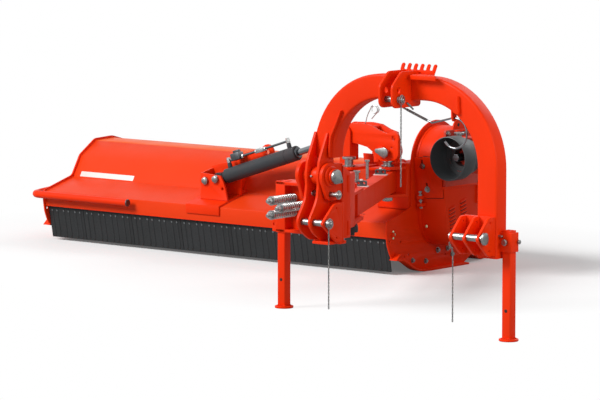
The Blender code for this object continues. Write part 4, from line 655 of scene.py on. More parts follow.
def grown(source, tree, **values):
    """Mesh that a tree makes from a source mesh, with its inputs set by their labels."""
    item = linked("source", source)
    modifier = item.modifiers.new("detail", "NODES")
    modifier.node_group = TREES[tree]
    wanted = {label.replace("_", " ").lower(): value for label, value in values.items()}
    for socket in TREES[tree].interface.items_tree:
        if socket.in_out == "INPUT" and socket.name.lower() in wanted:
            modifier[socket.identifier] = wanted[socket.name.lower()]
    return evaluated(item)


def spots_mesh(spots):
    """Points with a direction and a size; each spot is (place, direction) or (place, direction, size)."""
    mesh = bpy.data.meshes.new("spots")
    mesh.from_pydata([tuple(Vector(spot[0])) for spot in spots], [], [])
    facing = mesh.attributes.new("facing", "FLOAT_VECTOR", "POINT")
    size = mesh.attributes.new("size", "FLOAT_VECTOR", "POINT")
    for index, spot in enumerate(spots):
        facing.data[index].vector = Vector(spot[1]).normalized()
        scale = spot[2] if len(spot) > 2 else 1.0
        size.data[index].vector = (scale, scale, scale)
    return mesh


def line_mesh(lines):
    """Edges along several lines of points."""
    vertices, edges = [], []
    for line in lines:
        first = len(vertices)
        vertices += [tuple(point) for point in line]
        edges += [(first + k, first + k + 1) for k in range(len(line) - 1)]
    mesh = bpy.data.meshes.new("lines")
    mesh.from_pydata(vertices, edges, [])
    return mesh


def bolts(name, body, spots, slot, finish=ZINC, head=0.0085, height=0.007, washer=0.012):
    mesh = grown(spots_mesh(spots), "fasteners", Head=head, Height=height, Washer=washer, Finish=finish)
    return dress(name, [mesh], finish, body, slot=slot)


def domes(name, body, spots, slot, finish, radius=0.005, rise=0.5):
    mesh = grown(spots_mesh(spots), "domes", Radius=radius, Rise=rise, Finish=finish)
    return dress(name, [mesh], finish, body, slot=slot)


def welds(name, body, lines, slot, width=0.004, pitch=0.0045, finish=WELD):
    mesh = grown(line_mesh(lines), "welds", Width=width, Pitch=pitch, Finish=finish)
    return dress(name, [mesh], finish, body, slot=slot, angle=60)


# Headstock

def arch_station(angle, left):
    """Middle of the arch section and its outward direction at an angle above the shoulder's centre."""
    centre_x = ARCH_LEFT + ARCH_CORNER if left else ARCH_RIGHT - ARCH_CORNER
    side = -1 if left else 1
    outward = Vector((side * math.cos(angle), 0, math.sin(angle)))
    return Vector((centre_x, ARCH_DEPTH, ARCH_SHOULDER)) + outward * ARCH_MIDDLE_RADIUS, outward


def arch_sweep():
    """Box section bent over from the left plates to the foot of the right leg, fuller on its left outside."""
    steps = 20
    stations = [(Vector((2.457, ARCH_DEPTH, 0.668)), Vector((-1, 0, 0)))]
    stations += [arch_station(math.radians(90 * k / steps), True) for k in range(1, steps + 1)]
    stations += [arch_station(math.radians(90 - 90 * k / steps), False) for k in range(steps)]
    stations += [(Vector((3.270, ARCH_DEPTH, z)), Vector((1, 0, 0))) for z in (ARCH_SHOULDER, 0.324)]
    section = oblong(-0.048, 0.048, -0.035, 0.035, 0.011)
    fuller = 0.009

    def build(bm):
        rows = []
        for centre, outward in stations:
            swell = fuller * max(0.0, -outward.x)
            rows.append([bm.verts.new(centre + outward * (a + (swell if a > 0 else 0)) + Vector((0, b, 0)))
                         for a, b in section])
        for lower, upper in zip(rows, rows[1:]):
            for k in range(len(section)):
                bm.faces.new((lower[k], lower[(k + 1) % len(section)],
                              upper[(k + 1) % len(section)], upper[k]))
        bm.faces.new(rows[0])
        bm.faces.new(rows[-1])
        bmesh.ops.recalc_face_normals(bm, faces=bm.faces)

    return mesh_of(build)


def headstock():
    sleeve = slab("z", 0.352, 0.428, oblong(3.3225, 3.375, -1.250, -1.200, 0.004),
                  (oblong(3.3265, 3.3675, -1.2455, -1.2045, 0.002),), 0.001)
    neck = bar((3.314, -1.249, 0.3525), (3.3268, -1.201, 0.4275), 0.001)
    eye = slab("x", 3.090, 3.098, rounded([(-1.266, 0.912), (-1.234, 0.912), (-1.236, 0.862), (-1.243, 0.849),
                                           (-1.257, 0.849), (-1.264, 0.862)], 0.006),
               (circle((-1.250, 0.862), 0.0055),), 0.001)
    dress("arch_beam", [arch_sweep(), sleeve, neck, eye], COAT, "headstock", "headstock_arch")
    cheek = rounded([(-1.2703, 0.775), (-1.326, 0.659), (-1.336, 0.600), (-1.332, 0.559), (-1.340, 0.508),
                     (-1.356, 0.476), (-1.385, 0.434), (-1.390, 0.414), (-1.383, 0.395), (-1.365, 0.371),
                     (-1.328, 0.345), (-1.305, 0.333), (-1.236, 0.333), (-1.236, 0.6677),
                     (-1.2703, 0.6677)], 0.010)
    holes = (circle(LOWER_PIN, LOWER_PIN_HOLE), slot_outline((-1.2835, LOCK[1]), 0.0075, 0.013),
             circle(FLOAT, FLOAT_HOLE))
    shapes = [slab("x", x - 0.006, x + 0.006, cheek, holes) for x in (2.415, 2.475)]
    outer = rounded([(-1.392, 0.413), (-1.318, 0.482), (-1.306, 0.488), (-1.252, 0.488), (-1.252, 0.330),
                     (-1.296, 0.330)], 0.012)
    shapes.append(slab("x", 2.534, 2.546, outer, (circle(LOWER_PIN, LOWER_PIN_HOLE),
                                                  circle((-1.300, 0.470), 0.0045, 12),
                                                  circle((-1.298, 0.350), 0.0045, 12))))
    shapes.append(bar((2.4085, -1.276, 0.322), (2.5465, -1.2365, 0.3345)))
    shapes.append(bar((2.445, -1.330, 0.3225), (2.531, -1.270, 0.334)))
    shapes.append(bar((2.475, -1.264, 0.325), (2.5465, -1.250, 0.4885)))
    barrel = [(0, 0.031), (0.008, 0.0348), (0.018, 0.0365), (0.032, 0.0365), (0.042, 0.0345), (0.050, 0.030)]
    shapes.append(turned((2.420, *FLOAT), (1, 0, 0), barrel, 40))
    dress("left_bracket", shapes, COAT, "headstock", "left_hitch_plates")
    nipple = turned((2.4345, FLOAT[0] - 0.0355, FLOAT[1]), (0, -1, 0),
                    [(0, 0.0045), (0.005, 0.0045), (0.0065, 0.003)], 16)
    dress("grease_nipple", [nipple], SPRING_WIRE, "headstock", slot="left_hitch_plates")
    tri = rounded([(-1.384, 0.412), (-1.318, 0.482), (-1.306, 0.489), (-1.272, 0.489), (-1.272, 0.337),
                   (-1.314, 0.337), (-1.378, 0.398)], 0.012)
    shapes = [slab("x", x - 0.006, x + 0.006, tri, (circle(LOWER_PIN, LOWER_PIN_HOLE),
                                                    circle((-1.302, 0.468), 0.0045, 12),
                                                    circle((-1.306, 0.358), 0.0045, 12)))
              for x in (3.175, 3.240, 3.305)]
    shapes.append(bar((3.1685, -1.284, 0.3365), (3.3115, -1.2703, 0.4895)))
    dress("right_bracket", shapes, COAT, "headstock", "right_hitch_plates")
    cheek = rounded([(-1.390, 0.915), (-1.390, 0.985), (-1.330, 1.0395), (-1.2195, 1.0395), (-1.2195, 1.0203),
                     (-1.2703, 1.0203), (-1.2703, 0.9237), (-1.207, 0.9237), (-1.207, 0.905), (-1.217, 0.897),
                     (-1.372, 0.897)], 0.011)
    high_slot = slot_outline((-1.349, 0.967), 0.0035, 0.0095, 90)
    shapes = [slab("x", x - 0.005, x + 0.005, cheek, (circle(TOP_PIN, 0.0131), high_slot))
              for x in (2.831, 2.893)]
    shapes.append(bar((2.832, -1.262, 0.912), (2.892, -1.215, 0.9237)))
    dress("top_bracket", shapes, COAT, "headstock", "top_hitch_plates")
    comb()


def comb():
    """Hose comb: six leaning prongs at the back of the beam, on a shelf that reaches over its front."""
    first, pitch, tip = 2.803, 0.03166, 0.0078
    outline = [(first, 1.0405)]
    for index in range(6):
        x = first + index * pitch
        outline += [(x + 0.0005, 1.042), (x + 0.0062, 1.0585)]
        outline += [(x + 0.01525 + tip * math.cos(math.radians(a)), 1.0576 + tip * math.sin(math.radians(a)))
                    for a in range(170, 0, -20)]
        outline += [(x + 0.0228, 1.0585), (x + 0.0170, 1.0440)]
        if index < 5:
            outline += [(x + 0.0180, 1.0415), (x + 0.0205, 1.0400), (x + 0.0285, 1.0400),
                        (x + 0.0312, 1.0415)]
    outline += [(2.9693, 1.0204), (2.810, 1.0204)]
    shelf = slab("z", 1.0203, 1.0264, [(2.915, -1.300), (3.040, -1.300), (2.9645, -1.2102),
                                       (2.905, -1.2102)], (), 0.0018)
    fold = bar((2.916, -1.3012, 1.0085), (3.039, -1.2965, 1.0262), 0.0012)
    dress("comb", [slab("y", -1.2165, -1.2105, outline, (), 0.0012), shelf, fold], COAT,
          "headstock", "hose_comb")
    foot = [Vector((2.908, -1.218, 1.0268)), Vector((2.968, -1.218, 1.0268))]
    welds("comb_weld", "headstock", [foot], "hose_comb", 0.0022, 0.003)
    fin = [(2.5545, 0.864), (2.524, 0.812), (2.496, 0.7585), (2.490, 0.7086), (2.4895, 0.672),
           (2.4965, 0.672), (2.4975, 0.708), (2.503, 0.7565), (2.5295, 0.808)]
    spike = [(3.1344, 0.9523), (3.1134, 0.8879), (3.1384, 0.8806)]
    dress("arch_fin", [slab("y", -1.2835, -1.2695, outline, (), 0.001) for outline in (fin, spike)], COAT,
          "headstock", slot="headstock_arch")


def linch_clip(x, y, z, radius):
    """Spring ring clip through a pin's end: cross bar and ring."""
    reach = radius + 0.0055
    hoop = [Vector((x, a, b)) for a, b in arc((y, z), reach, 98, 442, 28)]
    clip = pin((x, y, z - radius - 0.0015), (x, y, z + reach + 0.003), 0.0040, 0.001, 12)
    return [clip, tube(hoop, 0.0022, 3)]


def hitch_pin(name, node, body, left, right, place, radius):
    length = right - left
    groove = length - 0.020
    profile = [(0, radius - 0.003), (0.003, radius), (groove, radius), (groove + 0.001, radius - 0.001),
               (groove + 0.003, radius - 0.001), (groove + 0.004, radius), (length - 0.003, radius),
               (length, radius - 0.003)]
    shapes = [turned((left, *place), (1, 0, 0), profile, 32)]
    shapes += linch_clip(right - 0.006, *place, radius)
    tip = [(0, 0.007), (0.006, 0.007), (0.0088, 0.004)]
    shapes.append(turned((right - 0.003, *place), (1, 0, 0), tip, 16))
    dress(name, shapes, ZINC, body, node)


def pins():
    hitch_pin("left_lower_pin", "left_hitch_pin", "left_pin", 2.396, 2.566, LOWER_PIN, 0.014)
    hitch_pin("upper_pin", "top_hitch_pin", "top_pin", 2.816, 2.918, TOP_PIN, 0.0125)
    hitch_pin("lock_bolt", "float_lock_pin", "float_lock", 2.352, 2.552, LOCK, 0.0105)
    y, z = LOWER_PIN
    head = slab("x", 3.3215, 3.333, slot_outline((y, z), 0.006, 0.019, 90), (), 0.0025)
    dress("right_lower_pin", [pin((3.158, y, z), (3.323, y, z), 0.014, 0.003), head], ZINC, "right_pin",
          "right_hitch_pin")
    x, y = RIGHT_STAND
    tip = y - 0.0205
    profile = [(0, 0.004), (0.001, 0.0057), (0.0065, 0.0057), (0.0065, 0.0125), (0.008, 0.013),
               (0.016, 0.013), (0.0182, 0.0105)]
    dress("stand_bolt", [turned((x, tip, 0.391), (0, -1, 0), profile, 24)], ZINC, "stand_lock",
          "right_stand_lock_pin")
    knob = turned((3.3745, -1.207, 0.391), (1, 0, 0), [(0, 0.006), (0.003, 0.006), (0.004, 0.009),
                                                       (0.010, 0.009), (0.0112, 0.007)], 20)
    stub = pin((3.308, -1.2545, 0.4155), (3.336, -1.2545, 0.4125), 0.0052, 0.001, 16)
    dress("sleeve_fittings", [knob, stub], ZINC, "headstock", slot="headstock_arch")


def chain(name, node, body, route):
    """Safety chain of wire links: along the route, then straight down."""
    route = [Vector(point) for point in route]
    left = CHAIN_LENGTH - sum((b - a).length for a, b in zip(route, route[1:]))
    foot = route[-1] - Vector((0, 0, left))
    inner = route + [foot + Vector((0, 0, 0.0038))]
    inner[0] = inner[0] + (inner[1] - inner[0]).normalized() * 0.0036
    mesh = grown(line_mesh([inner]), "links", Pitch=0.0136, Wire=0.0014, Half_Width=0.0022,
                 Finish=CHAIN_STEEL)
    piece = dress(name, [mesh], CHAIN_STEEL, body, node, angle=60)
    steps = 20
    hanging = [route[-1] - Vector((0, 0, left * k / steps)) for k in range(1, steps + 1)]
    path = [tuple(point + SEAM) for point in route + hanging]
    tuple(path[0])


def hook():
    """Bent bar that cradles the drive shaft, wound with wire along its sloping part."""
    y = -1.250
    points = [Vector((2.8425, y, 0.8905)), Vector((2.850, y, 0.8875)), Vector((2.920, y, 0.8618)),
              Vector((2.980, y, 0.8400)), Vector((2.990, y, 0.8385)), Vector((3.030, y, 0.8475)),
              Vector((3.072, y, 0.858)), Vector((3.086, y, 0.862)), Vector((3.106, y, 0.8625))]
    bend = [Vector((x, y, z)) for x, z in arc((3.098, 0.803), 0.060, 70, -142, 26)]
    dress("shaft_hook", [tube(smooth_line(points, 5)[:-1] + bend, 0.004, 4)], CHROME, "hook",
          "pto_hook", angle=60)
    first, last = Vector((2.862, y, 0.8831)), Vector((2.964, y, 0.8457))
    along = (last - first).normalized()
    up = Vector((-along.z, 0, along.x))
    turns, steps, radius = 24, 10, 0.0044
    wound = []
    for step in range(turns * steps + 1):
        angle = 2 * math.pi * step / steps
        wound.append(first + (last - first) * step / (turns * steps)
                     + (up * math.cos(angle) + Vector((0, 1, 0)) * math.sin(angle)) * radius)
    dress("hook_winding", [tube(wound, 0.0013, 2)], CHAIN_STEEL, "hook", slot="pto_hook", angle=60)
    short = pin((2.9025, -1.3025, 0.9160), (2.9025, -1.2615, 0.8870), 0.0038, 0.001, 16)
    dress("cheek_stub", [short], ZINC, "headstock", slot="top_hitch_plates")


def stands():
    for name, node, body, centre, top in (("right_leg", "right_stand", "stand_right", RIGHT_STAND, 0.436),
                                          ("left_leg", "left_stand", "stand_left", LEFT_STAND, 0.505)):
        x, y = centre
        leg = square_tube(centre, 0.006, top, 0.040, 0.004)
        plate = [(0, 0.037), (0.002, 0.039), (0.0075, 0.039), (0.009, 0.0375)]
        foot = turned((x, y, 0), (0, 0, 1), plate, 40)
        cap = bar((x - 0.017, y - 0.017, top - 0.012), (x + 0.017, y + 0.017, top - 0.002), 0.002)
        dress(name, [leg, foot, cap], COAT, body, node)
        low, corner = 0.0105, 0.0205
        loop = [Vector((x + a * corner, y + b * corner, low))
                for a, b in ((-1, -1), (1, -1), (1, 1), (-1, 1), (-1, -1))]
        welds(f"{name}_weld", body, [loop], node, 0.0028, 0.0032)
        front = y - 0.0202
        # Painted shade: a thin dark disc on the leg's front stands for the shade inside its hole.
        holes = [slab("y", front - 0.0002, front + 0.0004, circle((x, 0.120), 0.007), (), 0.0001)]
        dress(f"{name}_hole", holes, SHADE, body, slot=node)


# Float frame and break-away

def teardrop(centre, radius, reach, heading):
    """Outline of a flag head: a round end drawn out to a small tip."""
    tip = (centre[0] + reach * math.cos(math.radians(heading)),
           centre[1] + reach * math.sin(math.radians(heading)))
    return (arc(centre, radius, heading + 68, heading + 292, 20)
            + arc(tip, 0.009, heading - 68, heading + 68, 6))


def float_unit():
    ear = [(-1.208, 0.641), *arc(FLOAT, 0.055, 75, 215, 16), (-1.306, 0.505), (-1.292, 0.496),
           (-1.208, 0.496)]
    holes = (circle(FLOAT, FLOAT_HOLE), circle(LOCK, 0.011))
    shapes = [slab("x", low, high, ear, holes) for low, high in ((2.364, 2.380), (2.4885, 2.5035))]
    for start, end, outer in ((2.379, 2.4083, 0.030), (2.5025, 2.514, 0.042), (2.513, 2.528, 0.030)):
        shapes.append(ring((start, *FLOAT), (end, *FLOAT), outer, FLOAT_HOLE, 0.003, 36))
    shapes.append(slab("x", 2.362, 2.5055, rounded([(-1.2145, 0.335), (-1.155, 0.335), (-1.155, 0.598),
                                                    (-1.2145, 0.640)], 0.004), (), 0.003))
    shapes.append(bar((2.358, -1.190, 0.3205), (2.3705, -0.9995, 0.5295)))
    shapes.append(bar((2.065, -1.100, 0.518), (2.3695, -1.000, 0.530)))
    shapes.append(bar((2.065, -1.100, 0.320), (2.3695, -1.000, 0.332)))
    shapes.append(slab("y", -1.062, -1.050, oblong(2.085, 2.368, 0.323, 0.527),
                       [circle(spot, 0.009, 16) for spot in SPRINGS]))
    shapes.append(square_tube(LEFT_STAND, 0.318, 0.532, 0.050, 0.0044, 0.003))
    shapes.append(slab("y", -1.099, -1.089,
                       rounded([(2.046, 0.320), (2.070, 0.320), (2.070, 0.378), (2.046, 0.378)], 0.006),
                       (circle((2.056, 0.350), 0.006, 16),)))
    for low, high in ((0.340, 0.352), (0.585, 0.597)):
        lug = [(2.398, -1.160)] + arc((2.430, -1.120), 0.032, 180, 0, 14) + [(2.462, -1.160)]
        shapes.append(slab("z", low, high, lug, (circle((2.430, -1.120), 0.0149),)))
    dress("float_box", shapes, COAT, "float_unit", "float_frame")
    y, z = FLOAT
    head = slab("x", 2.5285, 2.540, teardrop(FLOAT, 0.030, 0.034, -34), (), 0.0022)
    shank = turned((2.336, y, z), (1, 0, 0), [(0, 0.012), (0.003, 0.015), (0.194, 0.015)], 32)
    washer = ring((2.346, y, z), (2.3635, y, z), 0.021, 0.012, 0.002)
    dress("float_pin", [head, shank, washer], ZINC, "float_unit", "float_pivot_pin")
    # Painted shade: a thin dark disc on the flag head stands for the shade inside its hole.
    hole = slab("x", 2.5396, 2.5402, circle((y + 0.026, z - 0.0185), 0.0036, 16), (), 0.0001)
    dress("float_pin_hole", [hole], SHADE, "float_unit", slot="float_pivot_pin")
    tabs = [bar((2.5045, -1.176, 0.520), (2.5085, -1.164, 0.592), 0.0015),
            bar((2.5045, -1.176, 0.345), (2.5085, -1.164, 0.405), 0.0015)]
    dress("column_tabs", tabs, COAT, "float_unit", slot="float_frame")
    welds("float_box_welds", "float_unit", [
        [Vector((2.117, -1.099, 0.518)), Vector((2.352, -1.099, 0.518))],
        [Vector((2.362, -1.2135, 0.639)), Vector((2.5055, -1.2135, 0.639))],
        [Vector((2.5065, -1.209, 0.505)), Vector((2.5065, -1.209, 0.630))]], "float_frame", 0.003, 0.0034)
    for number, (x, z) in enumerate(SPRINGS, 1):
        coil(f"coil_{number}", f"breakaway_spring_{number}", x, z)
    bolt_set()


def coil(name, node, x, z):
    """Compression spring of drawn wire with its ends laid flat."""
    start, end = -1.2133, -1.0625
    wire, radius, turns, steps = 0.0023, 0.0167, 12.5, 26
    points = []
    total = int(turns * steps)
    for step in range(total + 1):
        t = step / total
        angle = 2 * math.pi * turns * t
        eased = t - 0.018 * math.sin(2 * math.pi * t)
        y = start + wire + (end - start - 2 * wire) * eased
        points.append(Vector((x + radius * math.cos(angle), y, z + radius * math.sin(angle))))
    piece = dress(name, [tube(points, wire, 4)], SPRING_WIRE, "float_unit", node, angle=60)
    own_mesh(piece)


def bolt_set():
    shapes = [bar((2.105, -1.012, 0.385), (2.205, -1.005, 0.482))]
    for x, z in SPRINGS:
        profile = [(0, 0.006), (0.0015, 0.008)]
        pitch = 0.0024
        for thread in range(9):
            base = 0.003 + thread * pitch
            profile += [(base, 0.0079), (base + pitch / 2, 0.0069)]
        profile += [(0.026, 0.008), (0.234, 0.008)]
        shapes.append(turned((x, -1.243, z), (0, 1, 0), profile, 24))
        shapes.append(ring((x, -1.218, z), (x, -1.214, z), 0.020, 0.0075))
    dress("tension_bolts", shapes, ZINC, "bolt_set", "spring_bolt_set")
    nuts = []
    for x, z in SPRINGS:
        nuts += [hexagon((x, -1.2184, z), (0, -1, 0), 0.0245, 0.0078),
                 hexagon((x, -1.2262, z), (0, -1, 0), 0.0245, 0.0066)]
    dress("tension_nuts", nuts, SPRING_WIRE, "bolt_set", slot="spring_bolt_set")


# Arms and tilt linkage

def arm_shape(start, end, half_width, boss, before=0.0, past=0.0):
    """Box beam between two upright pins that may run on past them, with a bushed boss at each."""
    along = (end - start).normalized()
    side = Vector((along.y, -along.x))
    first, last = start - along * before, end + along * past
    corners = [tuple(p) for p in (first + side * half_width, last + side * half_width,
                                  last - side * half_width, first - side * half_width)]
    shapes = [slab("z", 0.377, 0.473, corners, (), 0.005)]
    bore = 0.0186
    for point in (start, end):
        shapes.append(ring((*point, 0.375), (*point, 0.475), boss, bore, 0.003, 40))
    return shapes


def arms():
    dress("front_beam", arm_shape(INNER_PIN, OUTER_PIN, 0.031, 0.0305, 0.058, 0.042), COAT,
          "arm_front", "front_arm")
    inner, outer = INNER_PIN + PIN_STEP, OUTER_PIN + PIN_STEP
    shapes = arm_shape(inner, outer, 0.025, 0.045)
    dress("rear_beam", shapes + [pin((*outer, 0.338), (*outer, 0.495), 0.018)], COAT, "arm_rear", "rear_arm")
    low = 0.4923
    spool = turned((*outer, low), (0, 0, 1), [(0, 0.026), (0.002, 0.028), (0.006, 0.028), (0.007, 0.019),
                                              (0.033, 0.019), (0.0335, 0.029), (0.035, 0.030), (0.042, 0.030),
                                              (0.044, 0.028)], 36)
    dress("rear_spool", [spool], ZINC, "arm_rear", slot="rear_arm")
    x, y = OUTER_PIN
    shank = turned((x, y, 0.338), (0, 0, 1), [(0, 0.0155), (0.002, 0.0175), (0.156, 0.0175)], 32)
    neck = turned((x, y, low), (0, 0, 1), [(0, 0.026), (0.002, 0.028), (0.006, 0.028), (0.007, 0.019),
                                           (0.021, 0.019)], 36)
    flag = slab("z", low + 0.020, low + 0.0265, teardrop((x, y), 0.026, 0.034, 155), (), 0.002)
    nut = hexagon((x, y, 0.3577), (0, 0, -1), 0.045, 0.0175)
    dress("outer_pin", [shank, neck, flag, nut], ZINC, "arm_front", "front_arm_outer_pin")
    for name, node, distance in (("clamp_outer", "pipe_clamp_outer", 0.180),
                                 ("clamp_inner", "pipe_clamp_inner", 0.650)):
        clamp(name, node, distance)
    tall = turned((1.970, -0.360, 0.468), (0, 0, 1), [(0, 0.0065), (0.077, 0.0065), (0.0775, 0.0115),
                                                      (0.084, 0.0115), (0.0855, 0.009)], 20)
    short = turned((2.077, -0.569, 0.483), (0, 0, 1), [(0, 0.013), (0.010, 0.013), (0.0105, 0.008),
                                                       (0.040, 0.008), (0.0405, 0.015), (0.047, 0.015),
                                                       (0.048, 0.013)], 24)
    dress("arm_studs", [tall, short], ZINC, "arm_front", slot="front_arm")
    soften("arm_base", COAT, "base")
    soften("tilt_carrier", COAT, "carrier", cuts=[((1.866, -0.020, 0.506), (1.930, 0.020, 0.620)),
                                                   ((1.757, -0.230, 0.470), (1.812, -0.0075, 0.510))])


def clamp(name, node, distance):
    """Two-hole pipe clamp on the front arm, at a distance in from the outer pin."""
    place = OUTER_PIN - distance * ARM_ALONG
    turn = Matrix.Translation((*place, 0.4733)) @ Matrix.Rotation(ARM_ANGLE, 4, "Z")
    body = rounded([(-0.023, 0.0038), (0.023, 0.0038), (0.023, 0.022), (0.019, 0.026), (-0.019, 0.026),
                    (-0.023, 0.022)], 0.002)
    block = slab("y", -0.012, 0.012, body, (circle((-0.012, 0.015), 0.006, 16),
                                            circle((0.012, 0.015), 0.006, 16)))
    block.transform(turn)
    dress(name, [block], NYLON, "arm_front", node)
    base = slab("z", 0, 0.0037, oblong(-0.030, 0.030, -0.018, 0.018, 0.003), (), 0.0008)
    stud = hexagon((0, 0, 0.026), (0, 0, 1), 0.011, 0.006)
    for shape in (base, stud):
        shape.transform(turn)
    dress(f"{name}_plate", [base, stud], CLAMP_SHEET, "arm_front", slot=node)


def along_cylinder(distance, side=0.0, lift=0.0):
    """Place along the tilt cylinder from its base pin, moved to its side and above it."""
    run = (TILT_TOP - TILT_BASE).normalized()
    up = Vector((-run.z, 0, run.x))
    return TILT_BASE + run * distance + Vector((0, side, 0)) + up * lift


def tilt_cylinder():
    run = (TILT_TOP - TILT_BASE).normalized()
    length = (TILT_TOP - TILT_BASE).length
    barrel = [(0.012, 0.018), (0.030, 0.022), (0.040, 0.031), (0.043, 0.034), (0.418, 0.034), (0.419, 0.0325),
              (0.424, 0.0325), (0.425, 0.034), (0.476, 0.034), (0.480, 0.031), (0.4801, 0.0155),
              (0.470, 0.0155)]
    shapes = [turned(TILT_BASE, run, barrel, 48)]
    shapes.append(ring((TILT_BASE.x, 0.0345, TILT_BASE.z), (TILT_BASE.x, 0.0855, TILT_BASE.z), 0.027,
                       0.0128, 0.002))
    shapes += [turned(along_cylinder(d, 0, 0.030), along_cylinder(d, 0, 0.056) - along_cylinder(d, 0, 0.030),
                      [(0, 0.0105), (0.020, 0.0105), (0.0235, 0.009), (0.026, 0.009)], 20)
               for d in TILT_PORTS]
    dress("tilt_barrel_tube", shapes, ENAMEL, "tilt_barrel", "tilt_cylinder_barrel")
    rod = [(0.30, 0.015), (length - 0.040, 0.015), (length - 0.038, 0.0165), (length - 0.022, 0.0165),
           (length - 0.014, 0.014)]
    eye = ring((TILT_TOP.x, 0.0395, TILT_TOP.z), (TILT_TOP.x, 0.0805, TILT_TOP.z), 0.024, 0.0130, 0.002)
    dress("tilt_piston_rod", [turned(TILT_BASE, run, rod, 40), eye], CHROME, "tilt_rod", "tilt_cylinder_rod")
    gland = turned(along_cylinder(0.4795), run, [(0, 0.024), (0.002, 0.026), (0.006, 0.026), (0.008, 0.024),
                                                 (0.0081, 0.0157), (0.002, 0.0157)], 36)
    dress("tilt_gland", [gland], STEEL, "tilt_barrel", slot="tilt_cylinder_barrel")
    valves(run)


def valves(run):
    """Lock valve, tee and pipe along the top of the barrel."""
    lift = 0.0655
    up = along_cylinder(0, 0, 1) - along_cylinder(0)
    first, last = TILT_PORTS
    route = [along_cylinder(first, 0, lift), along_cylinder(0.22, 0, lift + 0.001),
             along_cylinder(0.33, 0, lift), along_cylinder(last, 0, lift)]
    pipe = [tube(smooth_line(route, 6), 0.0055, 4)]
    turn = Matrix.Rotation(-math.atan2(run.z, run.x), 4, "Y")
    valve = [bar((-0.026, -0.018, -0.019), (0.026, 0.018, 0.014), 0.002),
             bar((-0.012, -0.010, 0.013), (0.020, 0.010, 0.026), 0.0015)]
    for shape in valve:
        shape.transform(Matrix.Translation(along_cylinder(0.125, 0, lift + 0.010)) @ turn)
    tee = bar((-0.022, -0.010, -0.010), (0.022, 0.010, 0.010), 0.0015)
    tee.transform(Matrix.Translation(along_cylinder(0.270, 0, lift)) @ turn)
    dress("valve_block", valve, STEEL, "tilt_barrel", "valve_line")
    nuts = []
    for distance in TILT_PORTS:
        nuts.append(hexagon(along_cylinder(distance, 0, 0.0563), up, 0.019, 0.006))
        nuts.append(ring(along_cylinder(distance, 0, 0.062), along_cylinder(distance, 0, 0.074),
                         0.0098, 0.002))
        nuts.append(hexagon(along_cylinder(distance, 0, 0.074), up, 0.016, 0.006))
    for distance in (0.094, 0.158, 0.243, 0.297):
        nuts.append(hexagon(along_cylinder(distance - 0.004, 0, lift), run, 0.017, 0.010))
    dress("valve_pipe", pipe, STEEL, "tilt_barrel", slot="valve_line")
    dress("valve_nuts", nuts + [tee], SPRING_WIRE, "tilt_barrel", slot="valve_line")


def shift_cylinder():
    start, end = INNER_PIN, OUTER_PIN + PIN_STEP
    along = Vector((*(end - start).normalized(), 0))
    length = (end - start).length
    base = Vector((*start, SHIFT_CYLINDER_HEIGHT))
    eye_low, eye_high = 0.304, 0.332
    profile = [(0.012, 0.0125), (0.027, 0.014), (0.030, 0.0225), (0.516, 0.0225), (0.520, 0.0205),
               (0.5201, 0.0108), (0.51, 0.0108)]
    shapes = [turned(base, along, profile, 36),
              ring((*start, eye_low), (*start, eye_high), 0.022, 0.0125, 0.002)]
    for distance in (0.06, 0.48):
        port = base + along * distance
        shapes.append(pin(port - Vector((0, 0, 0.036)), port - Vector((0, 0, 0.018)), 0.009))
    dress("shift_tube", shapes, ENAMEL, "shift_barrel", "shift_cylinder_barrel")
    rod = turned(base, along, [(0.28, 0.010), (length - 0.03, 0.010), (length - 0.029, 0.012),
                               (length - 0.012, 0.012)], 28)
    eye = ring((*end, eye_low), (*end, eye_high), 0.020, 0.0105, 0.002)
    dress("shift_piston_rod", [rod, eye], CHROME, "shift_rod", "shift_cylinder_rod")


